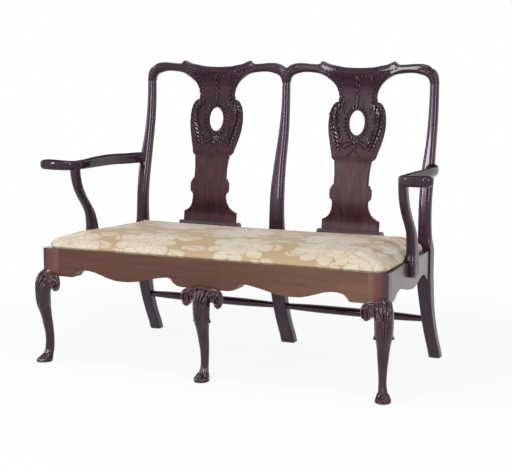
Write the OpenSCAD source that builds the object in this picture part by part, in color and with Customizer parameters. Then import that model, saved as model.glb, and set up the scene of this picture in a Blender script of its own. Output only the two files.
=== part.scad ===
// Double chair-back settee with a drop-in seat
// The layout has x to the right, y back from the front rail's face and z up from the floor.

/* [Overall] */
// Height of the back at the tips of the crest ears
back_h = 1000; // [900:5:1150]
// Height of the seat rails' top edge
rail_top = 384; // [350:2:430]
// Width of the seat frame at the front
front_w = 1226; // [1100:2:1400]
// Width of the seat frame where it meets the back posts
rear_w = 1127; // [1000:1:1200]
// Depth from the front rail's face to the posts
seat_d = 512; // [460:2:580]

/* [Seat frame] */
// Depth of the seat rails, top to bottom
rail_h = 92; // [80:1:110]
// Thickness of the front rail
front_rail_t = 46; // [38:1:52]
// Thickness of the side rails
side_rail_t = 34; // [30:1:40]
// Thickness of the rear rails
rear_rail_t = 44; // [38:1:50]
// Height of the shaping cut from the rails' undersides
rail_rise = 26; // [10:1:32]
// Width of the front rail's lip before the drop-in seat
lip_w = 10; // [7:0.5:14]
// Width of the side rails' lips beside the drop-in seat
side_lip_w = 20; // [14:0.5:24]
// Depth of the rebate that the drop-in seat lies in
rebate_h = 17; // [12:0.5:22]
// Thickness of the rail tenons
tenon_t = 10; // [8:0.5:12]
// Width of the rail between the middle posts and the front
cross_rail_w = 42; // [30:1:46]
// Depth of that rail, top to bottom
cross_rail_h = 50; // [35:1:60]
// Reach of the glued corner blocks along each rail
corner_block_reach = 70; // [50:1:90]
// Height of the glued corner blocks
corner_block_h = 44; // [30:1:55]

/* [Back posts] */
// Width of the outer posts at the seat
post_w = 48; // [42:1:54]
// Depth of the posts at the seat
post_d = 38; // [34:1:42]
// Width of the middle post at the seat
centre_post_w = 57; // [50:1:62]
// Stand of the outer posts beyond the side rails
post_proud = 4.5; // [2:0.5:8]
// Stand of the outer posts' blocks and legs outside their stiles
post_shift = 4; // [0:0.5:8]
// Width of the outer posts under the crest
post_top_w = 29; // [24:1:34]
// Width of the middle post under the crest
centre_top_w = 26; // [22:1:32]
// Depth of the posts under the crest
post_top_d = 27; // [22:1:30]
// Backward lean of the posts above the seat
stile_lean = 70; // [50:1:95]
// Backward sweep of the rear legs
leg_kick = 107; // [80:1:140]
// Outward splay of the outer rear feet
foot_splay = 6; // [0:1:20]
// Width of the rear feet
rear_foot_w = 41; // [34:1:46]
// Width of the middle rear foot
centre_foot_w = 53; // [44:1:60]
// Depth of the rear feet
rear_foot_d = 40; // [34:1:46]
// Diameter of the rear stretchers
stretcher_d = 29; // [20:1:34]
// Height of the rear stretchers
stretcher_z = 144; // [110:1:190]

/* [Crest and splats] */
// Height of the crest from the splat's neck to the ear tips
crest_h = 123; // [105:1:140]
// Thickness of the crest rails
crest_t = 28; // [24:1:32]
// Height of the crest's ends above the posts
crest_end_h = 75; // [68:1:80]
// Width of each splat
splat_w = 208; // [180:1:230]
// Thickness of each splat
splat_t = 13; // [10:0.5:16]
// Width of the oval opening in each splat
oval_w = 58; // [40:1:70]
// Height of the oval opening in each splat
oval_h = 84; // [60:1:100]
// Width of the shoe under each splat
shoe_w = 236; // [232:1:260]
// Depth of the shoe, front to back
shoe_d = 32; // [26:1:34]
// Height of the shoe above the rear rail
shoe_h = 48; // [40:1:56]

/* [Front legs] */
// Width of the leg blocks that the rails join
leg_block = 64; // [58:1:70]
// Radius of the blocks' outer edges
corner_r = 8; // [4:1:14]
// Height of the knees' tops above the floor
knee_top = 312; // [300:1:320]
// Reach of the feet beyond the leg's middle line
foot_reach = 63; // [50:1:70]
// Width of the knees
knee_w = 56; // [48:1:62]
// Turn of the end legs away from facing front
leg_turn = 26; // [15:1:45]
// Depth of the grooves between the toes
toe_groove = 2; // [0:0.5:3]
// Thickness of the knee brackets
bracket_t = 36; // [28:1:44]
// Reach of the end knee brackets from the legs' middle lines
end_bracket_reach = 56; // [50:1:70]
// Reach of the middle knee brackets from the leg's centre
centre_bracket_reach = 73; // [64:1:90]
// Drop of the knee brackets below the rails
bracket_drop = 54; // [45:1:65]
// Stand of the knee brackets' faces before the front rail's face
bracket_front = 26; // [16:1:30]

/* [Arms] */
// Height of the arms' middle line above the seat rails
arm_rise = 266; // [220:1:300]
// Reach of the arm tips beyond the posts' middle lines
arm_out = 140; // [125:1:155]
// Distance of the arm tips behind the front rail's face
arm_tip_y = 130; // [120:1:150]
// Width of the arms
arm_w = 36; // [32:1:40]
// Thickness of the arms
arm_t = 36; // [30:1:40]
// Width of the arm supports, front to back
support_w = 36; // [30:1:40]
// Thickness of the arm supports
support_t = 29; // [25:1:31]
// Depth that the supports lap over the side rails
support_lap = 51; // [40:1:60]

/* [Drop-in seat] */
// Gap between the drop-in seat and the lips
seat_gap = 2; // [1.5:0.5:3]
// Radius of the drop-in seat's front corners
seat_r = 26; // [12:1:34]
// Height of the seat's crown above the rails
crown_h = 56; // [40:1:65]
// Thickness of the seat's cover
cover_t = 1.5; // [1:0.25:2]
// Width of the seat frame's bars
bar_w = 55; // [52:1:70]
// Thickness of the seat frame's bars
bar_t = 19; // [16:1:22]
// Width of the webbing
web_w = 50; // [40:1:55]

/* [Hidden] */

mahogany = [0.23, 0.11, 0.10];
rail_wood = [0.38, 0.22, 0.14];
beech = [0.76, 0.62, 0.44];
steel = [0.42, 0.41, 0.40];
linen = [0.72, 0.64, 0.50];
damask = [0.86, 0.77, 0.62];
black_cloth = [0.12, 0.11, 0.11];

// Overrun of cuts past a face
over = 2;
// Gap between the drop-in seat and what it lies on
fit_gap = 0.3;
// Sides of round parts
round_sides = 48;

// Heights and places that follow from the sizes above
rail_bottom = rail_top - rail_h;
rebate_floor = rail_top - rebate_h;
post_x = rear_w / 2 + post_proud - post_w / 2 - post_shift;
post_inner_x = post_x + post_shift - post_w / 2;
chair_x = post_x / 2;
post_top = back_h - crest_end_h;
neck_z = back_h - crest_h;
shoe_top = rail_top + shoe_h;
ledge_w = rear_rail_t * 0.27;
rear_rail_back = seat_d + rear_rail_t - ledge_w;
block_mid_y = seat_d + post_d / 2;
leg_axis = leg_block * 0.344;
centre_leg_axis = leg_block * 0.22;

// Shares of the tenons: shoulder above and below, and length in the leg blocks
tenon_shoulder_share = 0.15;
tenon_z = rail_bottom + rail_h * tenon_shoulder_share;
tenon_h = rail_h * (1 - 2 * tenon_shoulder_share) - rebate_h / 2;
// Part of each tenon that lies in its own rail
tenon_root = tenon_t / 5;
leg_tenon_l = leg_block * 0.36;
rear_tenon_y = rear_rail_back - tenon_t * 1.4;
post_tenon_l = rear_tenon_y - seat_d - tenon_t / 5;

// The layout's y that lies over the origin, halfway between the front and rear feet
front_reach = foot_reach - centre_leg_axis;
back_reach = block_mid_y + leg_kick + rear_foot_d / 2;
origin_y = (back_reach - front_reach) / 2;

// Row of a table, held at its ends
function row(t, i) = t[max(0, min(len(t) - 1, i))];
function span(t, x, i = 0) = i >= len(t) - 2 || x < t[i + 1][0] ? i : span(t, x, i + 1);
// Smooth value of column c at x, in a table whose first column rises
function smooth(t, x, c = 1) =
    let (i = span(t, x), a = row(t, i - 1), b = row(t, i), d = row(t, i + 1), e = row(t, i + 2))
    let (s = (x - b[0]) / (d[0] - b[0]))
    let (m = (d[c] - a[c]) / (d[0] - a[0]) * (d[0] - b[0]))
    let (n = (e[c] - b[c]) / (e[0] - b[0]) * (d[0] - b[0]))
    (2 * s ^ 3 - 3 * s ^ 2 + 1) * b[c] + (s ^ 3 - 2 * s ^ 2 + s) * m
    + (3 * s ^ 2 - 2 * s ^ 3) * d[c] + (s ^ 3 - s ^ 2) * n;
// Smooth curve through free points, n steps between each two
function curve_point(p, i, s) =
    let (a = row(p, i - 1), b = row(p, i), d = row(p, i + 1), e = row(p, i + 2))
    (b * 2 + (d - a) * s + (a * 2 - b * 5 + d * 4 - e) * s ^ 2 + (b * 3 - a - d * 3 + e) * s ^ 3) / 2;
function curve(p, n) = [
    for (i = [0 : len(p) - 2], k = [0 : n - 1]) curve_point(p, i, k / n),
    p[len(p) - 1]
];
function reversed(p) = [for (i = [len(p) - 1 : -1 : 0]) p[i]];
function mirrored(p) = [for (q = reversed(p)) [-q[0], q[1]]];

// Closed skin over rings that hold as many points each and turn the same way
module skin(rings) {
    n = len(rings[0]);
    last = len(rings) - 1;
    points = [for (r = rings, p = r) p];
    sides = [
        for (i = [0 : last - 1], j = [0 : n - 1])
            let (k = (j + 1) % n, a = i * n, b = a + n)
            each [[a + j, b + j, b + k], [a + j, b + k, a + k]]
    ];
    low = [[for (j = [0 : n - 1]) j]];
    high = [[for (j = [n - 1 : -1 : 0]) last * n + j]];
    polyhedron(points, concat(sides, low, high), convexity = 6);
}

// Rounded oblong of half sizes w and d, with its front corners rounded by f and its back ones by b
function oblong(w, d, f, b, steps = 3) = [
    for (q = [0 : 3])
        let (sx = q == 0 || q == 3 ? 1 : -1, sy = q < 2 ? 1 : -1)
        let (r = min(w, d) * (q < 2 ? b : f))
        for (k = [0 : steps])
            let (a = 90 * (q + k / steps))
            [sx * (w - r) + r * cos(a), sy * (d - r) + r * sin(a)]
];

// Back posts: one piece each from the foot to the crest, swept through rings
// Height share of the stile, share of its lean, shares of the taper left in outer and middle posts,
// and share of the outer posts' shift
stile_shares = [
    [0, 0, 1, 1, 1], [0.08, -0.05, 0.88, 0.94, 0.4], [0.16, -0.065, 0.74, 0.84, 0.15],
    [0.24, -0.045, 0.69, 0.775, 0.05], [0.32, 0.02, 0.68, 0.71, 0], [0.40, 0.14, 0.70, 0.60, 0],
    [0.51, 0.35, 0.60, 0.45, 0], [0.59, 0.53, 0.38, 0.375, 0], [0.67, 0.70, 0.22, 0.28, 0],
    [0.745, 0.82, 0.16, 0.18, 0], [0.823, 0.915, 0.11, 0.085, 0], [0.90, 0.967, 0.05, 0.02, 0],
    [1, 1, 0, 0, 0]
];
// Height share of the rear leg, share of its kick and share of its swelling
rear_leg_shares = [
    [0, 1, 1], [0.106, 0.866, 0.975], [0.25, 0.64, 0.94], [0.42, 0.42, 0.92],
    [0.61, 0.235, 0.92], [0.80, 0.11, 0.965], [0.93, 0.04, 1], [1, 0, 1]
];
function stile_y(z) = block_mid_y + stile_lean * smooth(stile_shares, (z - rail_top) / (post_top - rail_top));
function leg_y(z) = block_mid_y + leg_kick * smooth(rear_leg_shares, z / rail_bottom);
function blend(a, b, s) = a + (b - a) * s;
function lift(p, x, y, z) = [for (q = p) [q[0] + x, q[1] + y, z]];
function post_rings(w, top_w, foot_w, splay, shift, taper) = [
    for (r = rear_leg_shares)
        let (z = r[0] * rail_bottom, s = r[0], k = r[2] / 2, round = 0.5 - 0.42 * s)
        lift(
            oblong(blend(foot_w, w, s) * k, blend(rear_foot_d, post_d, s) * k, round, round),
            shift + splay * (1 - s) ^ 1.3, leg_y(z), z
        ),
    lift(oblong(w / 2, post_d / 2, 0.08, 0.08), shift, block_mid_y, rail_top),
    for (i = [1 : len(stile_shares) - 1])
        let (r = stile_shares[i], s = r[0], z = rail_top + s * (post_top - rail_top))
        lift(
            oblong(blend(top_w, w, r[taper]) / 2, blend(post_d * 0.84, post_top_d, s) / 2, 0.9, 0.55),
            shift * r[4], stile_y(z), z
        )
];
outer_rings = post_rings(post_w, post_top_w, rear_foot_w, foot_splay, post_shift, 2);
centre_rings = post_rings(centre_post_w, centre_top_w, centre_foot_w, 0, 0, 3);
// Tenon at the top of each post
crest_tenon = [post_top_d * 0.6, post_top_d * 0.36, crest_end_h * 0.36];
module crest_tenon_at(x) {
    translate([x - crest_tenon[0] / 2, stile_y(post_top) - crest_tenon[1] / 2, post_top])
        cube(crest_tenon);
}
module post_blank(x, rings) {
    translate([x, 0, 0]) skin(rings);
    crest_tenon_at(x);
}
module outer_post() {
    color(mahogany) difference() {
        post_blank(post_x, outer_rings);
        side_rail_rear_tenon();
        rear_rail_tenon(post_inner_x, 1);
        stretcher_body();
        arm_screw_hole();
    }
}
module back_post_right() { outer_post(); }
module back_post_left() { mirror([1, 0, 0]) outer_post(); }
module back_post_centre() {
    color(mahogany) difference() {
        post_blank(0, centre_rings);
        for (s = [-1, 1]) {
            rear_rail_tenon(s * centre_post_w / 2, -s);
            mirror([s > 0 ? 0 : 1, 0, 0]) stretcher_body();
        }
        cross_rail_tenon(seat_d, 1);
    }
}

// Rear stretchers: turned, and thinner where they enter the legs
stretcher_y = leg_y(stretcher_z);
stretcher_from = centre_post_w / 2 * 0.45;
stretcher_to = post_inner_x + rear_foot_w * 0.4;
stretcher_shares = [
    [0, 0.7], [0.04, 0.74], [0.14, 0.88], [0.3, 1], [0.7, 1], [0.86, 0.88], [0.96, 0.74], [1, 0.7]
];
module stretcher_body() {
    l = stretcher_to - stretcher_from;
    side = [for (r = stretcher_shares) [r[1] * stretcher_d / 2, r[0] * l]];
    translate([stretcher_from, stretcher_y, stretcher_z]) rotate([0, 90, 0])
        rotate_extrude($fn = round_sides) polygon(concat([[0, 0]], side, [[0, l]]));
}
module rear_stretcher_right() { color(mahogany) stretcher_body(); }
module rear_stretcher_left() { mirror([1, 0, 0]) rear_stretcher_right(); }

// Plan of the seat frame: a trapezium with its front corners rounded
function side_x(y) = (front_w + (rear_w - front_w) * y / seat_d) / 2;
// Plan set in by side and front, with front corners of radius r and its back edge at y1
function plan(side, front, r, y1) =
    let (x0 = side_x(front) - side, x1 = side_x(y1) - side)
    let (right = concat(
        [for (k = [0 : 6]) let (a = -90 + 15 * k) [x0 - r + r * cos(a), front + r + r * sin(a)]],
        [[x1, y1]]
    ))
    concat(right, mirrored(right));
module frame_plan() { polygon(plan(0, 0, corner_r, seat_d)); }
// Space that the drop-in seat lies in
module recess() {
    translate([0, 0, rebate_floor]) linear_extrude(rebate_h + over)
        polygon(plan(side_lip_w, lip_w, seat_r + seat_gap, seat_d));
}

// Front rail: share of each half's length and share of the rise of its underside
front_rail_shares = [
    [0, 0], [0.15, 0], [0.18, 0.1], [0.207, 0.42], [0.217, 0.7], [0.225, 0.9], [0.236, 0.98], [0.25, 1],
    [0.285, 0.92], [0.325, 0.76], [0.375, 0.54], [0.443, 0.18], [0.50, 0.02], [0.546, -0.02], [0.60, 0.03],
    [0.645, 0.22], [0.70, 0.58], [0.745, 0.86], [0.785, 0.99], [0.82, 1], [0.84, 0.93], [0.862, 0.78],
    [0.882, 0.4], [0.892, 0.06], [0.91, 0], [1, 0]
];
front_rail_half = front_w / 2 - leg_block;
module front_seat_rail() {
    half = [for (r = front_rail_shares) [r[0] * front_rail_half, rail_bottom + r[1] * rail_rise]];
    top = [[front_rail_half, rail_top], [-front_rail_half, rail_top]];
    outline = concat(half, top, mirrored([for (i = [1 : len(half) - 1]) half[i]]));
    color(rail_wood) difference() {
        union() {
            translate([0, front_rail_t, 0]) rotate([90, 0, 0]) linear_extrude(front_rail_t) polygon(outline);
            for (s = [-1, 1]) front_rail_tenon(s);
        }
        recess();
        cross_rail_tenon(front_rail_t, -1);
        centre_leg_tenon();
        corner_block_screw_set();
    }
}
module front_rail_tenon(s) {
    l = leg_tenon_l + tenon_root;
    x = s > 0 ? front_rail_half - tenon_root : -front_rail_half - leg_tenon_l;
    translate([x, (front_rail_t - tenon_t) / 2, tenon_z]) cube([l, tenon_t, tenon_h]);
}

// Side rails: share of the length and share of the rise of the underside
side_rail_shares = [
    [0, 0], [0.02, 0.02], [0.05, 0.22], [0.10, 0.75], [0.18, 1], [0.26, 0.75], [0.36, 0.36], [0.48, 0.08],
    [0.54, 0.02], [0.60, 0.10], [0.66, 0.36], [0.745, 0.78], [0.81, 0.94], [0.87, 0.86], [0.925, 0.2],
    [0.96, 0.03], [1, 0]
];
module side_rail_right() {
    l = seat_d - leg_block;
    shape = [for (r = side_rail_shares) [leg_block + r[0] * l, rail_bottom + r[1] * rail_rise]];
    outline = concat(shape, [[seat_d, rail_top], [leg_block, rail_top]]);
    x_front = side_x(leg_block);
    x_rear = side_x(seat_d);
    difference() {
        union() {
            intersection() {
                rotate([90, 0, 90]) linear_extrude(front_w) polygon(outline);
                linear_extrude(rail_top + over) polygon([
                    [x_front - side_rail_t, leg_block], [x_front, leg_block],
                    [x_rear, seat_d], [x_rear - side_rail_t, seat_d]
                ]);
            }
            side_rail_rear_tenon();
            side_rail_front_tenon();
        }
        recess();
        support_screw_holes();
        corner_screw_holes();
    }
}
module side_seat_rail_right() { color(rail_wood) side_rail_right(); }
module side_seat_rail_left() { color(rail_wood) mirror([1, 0, 0]) side_rail_right(); }
module side_rail_rear_tenon() {
    translate([post_x - tenon_t / 2, seat_d - tenon_root, tenon_z])
        cube([tenon_t, post_tenon_l + tenon_root, tenon_h]);
}
module side_rail_front_tenon() {
    translate([side_x(leg_block) - side_rail_t / 2 - tenon_t / 2, leg_block - leg_tenon_l, tenon_z])
        cube([tenon_t, leg_tenon_l + tenon_root, tenon_h]);
}

// Rear rails: each carries a splat's shoe and a ledge for the drop-in seat
module rear_rail_tenon(x, s) {
    l = post_w * 0.55;
    translate([s > 0 ? x - tenon_root : x - l, rear_tenon_y, tenon_z]) cube([l + tenon_root, tenon_t, tenon_h]);
}
module rear_rail_right() {
    x0 = centre_post_w / 2;
    x1 = post_inner_x;
    difference() {
        union() {
            translate([x0, rear_rail_back - rear_rail_t, rail_bottom]) cube([x1 - x0, rear_rail_t, rail_h]);
            rear_rail_tenon(x1, 1);
            rear_rail_tenon(x0, -1);
        }
        translate([x0 - over, rear_rail_back - rear_rail_t - over, rebate_floor])
            cube([x1 - x0 + 2 * over, ledge_w + over, rebate_h + over]);
        corner_screw_holes();
    }
}
module rear_seat_rail_right() { color(rail_wood) rear_rail_right(); }
module rear_seat_rail_left() { color(rail_wood) mirror([1, 0, 0]) rear_rail_right(); }

// Rail from the front rail to the middle post
module cross_rail_tenon(y, s) {
    l = tenon_t * 1.2;
    translate([-cross_rail_w / 4, s > 0 ? y - tenon_root : y - l, rebate_floor - cross_rail_h * 0.75])
        cube([cross_rail_w / 2, l + tenon_root, cross_rail_h / 2]);
}
module centre_cross_rail() {
    color(beech) {
        translate([-cross_rail_w / 2, front_rail_t, rebate_floor - cross_rail_h])
            cube([cross_rail_w, seat_d - front_rail_t, cross_rail_h]);
        cross_rail_tenon(seat_d, 1);
        cross_rail_tenon(front_rail_t, -1);
    }
}

// Corner blocks, let in round the legs and screwed to the rails
block_top = rebate_floor - fit_gap * 10;
block_low = block_top - corner_block_h;
function inner_x(y) = side_x(y) - side_rail_t;
front_block_corner = [front_w / 2 - leg_block, leg_block];
// Slanted inner face of each right block, from its rail at front or rear to the side rail
block_end = corner_block_reach * 0.15;
front_block_far = leg_block + corner_block_reach;
front_block_face = [
    [front_block_corner[0] - corner_block_reach, front_rail_t + block_end],
    [inner_x(front_block_far) - block_end, front_block_far]
];
rear_block_edge = rear_rail_back - rear_rail_t;
rear_block_far = rear_block_edge - corner_block_reach;
rear_block_face = [
    [inner_x(rear_block_edge) - corner_block_reach, rear_block_edge - block_end],
    [inner_x(rear_block_far) - block_end, rear_block_far]
];
module front_block_right() {
    difference() {
        translate([0, 0, block_low]) linear_extrude(corner_block_h) polygon([
            [front_block_corner[0] - corner_block_reach, front_rail_t], [front_block_corner[0], front_rail_t],
            front_block_corner, [inner_x(leg_block), leg_block], [inner_x(front_block_far), front_block_far],
            front_block_face[1], front_block_face[0]
        ]);
        corner_screw_holes();
    }
}
module rear_block_right() {
    difference() {
        translate([0, 0, block_low]) linear_extrude(corner_block_h) polygon([
            [inner_x(rear_block_edge), rear_block_edge], [inner_x(rear_block_edge) - corner_block_reach, rear_block_edge],
            rear_block_face[0], rear_block_face[1], [inner_x(rear_block_far), rear_block_far]
        ]);
        corner_screw_holes();
    }
}
module corner_block_front_right() { color(beech) front_block_right(); }
module corner_block_front_left() { color(beech) mirror([1, 0, 0]) front_block_right(); }
module corner_block_rear_right() { color(beech) rear_block_right(); }
module corner_block_rear_left() { color(beech) mirror([1, 0, 0]) rear_block_right(); }

// Wood screw along +Z from its head's face, and its hole with a counterbore of some depth over the head
screw_d = 4.5;
module wood_screw(l) { screw_hole(l, 0); }
module screw_hole(l, deep) {
    rotate_extrude($fn = round_sides) polygon([
        [0, -deep], [screw_d, -deep], [screw_d, 0], [screw_d / 2, screw_d / 2], [screw_d / 2, l - screw_d], [0, l]
    ]);
}
// Screws in the blocks, sunk in counterbores: slanted face, share along it and turn about z
screw_mid = (block_top + block_low) / 2;
screw_l = side_rail_t * 1.35;
screw_sink = screw_d * 1.3;
corner_screw_places = [
    [front_block_face, 0.22, 0], [front_block_face, 0.78, 90], [rear_block_face, 0.22, 180], [rear_block_face, 0.78, 90]
];
module at_corner_screw(p) {
    at = blend(p[0][0], p[0][1], p[1]);
    translate([at[0], at[1], screw_mid]) rotate([0, 0, p[2]]) rotate([90, 0, 0]) children();
}
module corner_screws_right() {
    for (p = corner_screw_places) at_corner_screw(p) translate([0, 0, screw_sink]) wood_screw(screw_l);
}
module corner_screw_holes() {
    for (p = corner_screw_places)
        at_corner_screw(p) translate([0, 0, screw_sink]) screw_hole(screw_l, 2 * screw_sink);
}
module corner_block_screw_set() {
    corner_screws_right();
    mirror([1, 0, 0]) corner_screws_right();
}
module corner_block_screws() { color(steel) corner_block_screw_set(); }

// Front legs: share of the knee's height, outer and inner reach and half width as shares of the foot's reach
cabriole_shares = [
    [0, 1, 0.11, 0.44], [0.015, 1, 0.10, 0.45], [0.038, 0.965, 0.08, 0.44], [0.058, 0.80, 0.06, 0.36],
    [0.08, 0.66, 0.03, 0.305], [0.106, 0.56, -0.01, 0.26], [0.135, 0.49, -0.035, 0.237], [0.18, 0.45, -0.05, 0.223],
    [0.25, 0.44, -0.045, 0.237], [0.32, 0.47, -0.02, 0.264], [0.40, 0.56, 0.03, 0.305], [0.48, 0.65, 0.09, 0.34],
    [0.545, 0.76, 0.125, 0.38], [0.60, 0.86, 0.15, 0.43], [0.66, 0.93, 0.165, 0.47], [0.735, 0.97, 0.17, 0.49],
    [0.80, 0.985, 0.11, 0.495], [0.86, 0.96, -0.02, 0.49], [0.91, 0.90, -0.20, 0.47], [0.945, 0.82, -0.30, 0.44],
    [0.975, 0.68, -0.34, 0.38], [1, 0.50, -0.34, 0.30]
];
leg_sides = 24;
// Depth of the toe grooves at each height share of the leg
toe_shares = [[0, 1], [0.02, 1], [0.06, 0.6], [0.1, 0], [1, 0]];
function leg_ring(r) =
    let (mid = (r[1] + r[2]) / 2 * foot_reach, d = (r[1] - r[2]) / 2 * foot_reach, w = r[3] * knee_w)
    let (groove = toe_groove * lookup(r[0], toe_shares))
    [for (j = [0 : leg_sides - 1])
        let (a = 360 * j / leg_sides, g = groove * (1 - cos(6 * a)) / 2)
        [(w - g) * sin(a), -mid - (d - g) * cos(a), r[0] * knee_top]];
module cabriole() { skin([for (r = cabriole_shares) leg_ring(r)]); }
module corner_leg_right() {
    difference() {
        union() {
            translate([0, 0, rail_bottom]) linear_extrude(rail_h) intersection() {
                frame_plan();
                translate([front_w / 2 - leg_block, 0]) square([leg_block, leg_block]);
            }
            translate([front_w / 2 - leg_axis, leg_axis, 0]) rotate([0, 0, leg_turn]) cabriole();
        }
        recess();
        front_rail_tenon(1);
        side_rail_front_tenon();
    }
}
module front_leg_right() { color(mahogany) corner_leg_right(); }
module front_leg_left() { color(mahogany) mirror([1, 0, 0]) corner_leg_right(); }
module centre_leg_tenon() {
    translate([-knee_w * 0.3, front_rail_t * 0.3, rail_bottom]) cube([knee_w * 0.6, front_rail_t * 0.35, rail_h * 0.4]);
}
module front_leg_centre() {
    color(mahogany) {
        intersection() {
            translate([0, centre_leg_axis, 0]) cabriole();
            translate([-front_w / 2, -front_w / 2, 0]) cube([front_w, front_w, rail_bottom]);
        }
        centre_leg_tenon();
    }
}

// Knee brackets: share of the reach and share of the drop, from the leg outwards and back along the top
end_bracket_shares = [
    [0, 0.62], [0.25, 0.64], [0.4, 0.67], [0.49, 0.8], [0.62, 0.9], [0.78, 0.88], [0.93, 0.72], [1, 0.45],
    [0.98, 0.2], [0.88, 0], [0.7, -0.12], [0.4, -0.2]
];
centre_bracket_shares = [
    [0, 0.62], [0.4, 0.62], [0.55, 0.68], [0.6, 0.84], [0.68, 0.98], [0.79, 1.03], [0.92, 0.9], [1, 0.64],
    [1, 0.34], [0.95, 0.12], [0.84, 0], [0.7, -0.08], [0.4, -0.16]
];
// Plan of the brackets: share of the reach and share of the thickness behind the front
bracket_plan_shares = [[0, 0], [1, 0], [1.02, 0.36], [0.5, 0.8], [0, 1]];
module bracket(shares, reach) {
    shape = curve([for (r = shares) [r[0] * reach, -r[1] * bracket_drop]], 3);
    translate([0, 0, rail_bottom]) difference() {
        intersection() {
            translate([0, bracket_t, 0]) rotate([90, 0, 0]) linear_extrude(bracket_t + bracket_front)
                polygon(concat([[0, -bracket_drop * shares[len(shares) - 1][1]]], shape));
            translate([0, -bracket_front, -front_w / 2]) linear_extrude(front_w)
                polygon([for (r = bracket_plan_shares) [r[0] * reach, r[1] * bracket_t]]);
        }
        translate([-front_w / 2, 0, 0]) cube([front_w, bracket_t, rail_h]);
    }
}
// Upper part of the leg, which the brackets are cut to fit
module knee() { skin([for (r = cabriole_shares) if (r[0] > 0.5) leg_ring(r)]); }
module end_bracket() {
    difference() {
        translate([front_w / 2 - leg_axis, 0, 0]) mirror([1, 0, 0]) bracket(end_bracket_shares, end_bracket_reach);
        translate([front_w / 2 - leg_axis, leg_axis, 0]) rotate([0, 0, leg_turn]) knee();
    }
}
module centre_bracket(side) {
    color(mahogany) difference() {
        mirror([side > 0 ? 0 : 1, 0, 0]) bracket(centre_bracket_shares, centre_bracket_reach);
        translate([0, centre_leg_axis, 0]) knee();
    }
}
module knee_bracket_right() { color(mahogany) end_bracket(); }
module knee_bracket_left() { color(mahogany) mirror([1, 0, 0]) end_bracket(); }
module knee_bracket_centre_right() { centre_bracket(1); }
module knee_bracket_centre_left() { centre_bracket(-1); }

// Crest rails: outline in shares of the half pitch and of the crest's height, from the middle outwards
crest_top_shares = [
    [0, 0.82], [0.13, 0.83], [0.22, 0.846], [0.30, 0.878], [0.38, 0.91], [0.435, 0.955], [0.485, 1.0],
    [0.51, 0.95], [0.545, 0.915]
];
crest_arm_shares = [[0.545, 0.915], [0.65, 0.925], [0.76, 0.945], [0.85, 0.94], [0.92, 0.9]];
crest_under_shares = [
    [0.945, 0.415], [0.925, 0.54], [0.87, 0.626], [0.74, 0.69], [0.585, 0.675], [0.475, 0.626],
    [0.38, 0.51], [0.31, 0.36], [0.267, 0.18], [0.248, 0]
];
crest_outer_shares = [[0.965, 0.83], [1.01, 0.765], [1.04, 0.64], [1.053, 0.5]];
crest_inner_shares = [[0.965, 0.845], [1, 0.80]];
function crest_points(shares) = [for (r = shares) [r[0] * chair_x, neck_z + r[1] * crest_h]];
function crest_half(end, foot) = concat(
    curve(crest_points(crest_top_shares), 2),
    curve(concat(crest_points(crest_arm_shares), crest_points(end)), 3),
    foot,
    curve(crest_points(crest_under_shares), 2)
);
crest_y = stile_y(post_top);
module crest_right() {
    inner_end = centre_top_w / 2 + over;
    outer_end = post_top_w / 2 + over;
    inner = crest_half(crest_inner_shares, [[chair_x, post_top], [chair_x - inner_end, post_top]]);
    outer = crest_half(crest_outer_shares, [[chair_x + outer_end, post_top], [chair_x - outer_end, post_top]]);
    difference() {
        translate([chair_x, crest_y + crest_t / 2, 0]) rotate([90, 0, 0]) linear_extrude(crest_t)
            polygon(concat(outer, mirrored([for (i = [1 : len(inner) - 1]) inner[i]])));
        crest_tenon_at(post_x);
        crest_tenon_at(0);
        splat_tongue();
    }
}
module crest_rail_right() { color(mahogany) crest_right(); }
module crest_rail_left() { color(mahogany) mirror([1, 0, 0]) crest_right(); }

// Splats: height share above the shoe and share of the half width
splat_edge_shares = [
    [0, 1], [0.075, 1], [0.084, 0.9], [0.10, 0.8], [0.12, 0.72], [0.15, 0.66], [0.18, 0.63], [0.21, 0.62],
    [0.232, 0.655], [0.235, 0.71], [0.27, 0.73], [0.315, 0.72], [0.325, 0.67], [0.34, 0.66], [0.345, 0.60],
    [0.42, 0.60], [0.48, 0.62], [0.525, 0.65], [0.53, 0.70], [0.545, 0.76], [0.58, 0.80], [0.64, 0.88],
    [0.72, 0.965], [0.79, 1], [0.86, 0.985], [0.91, 0.94], [0.945, 0.86], [0.965, 0.77], [0.97, 0.68], [1, 0.66]
];
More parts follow.
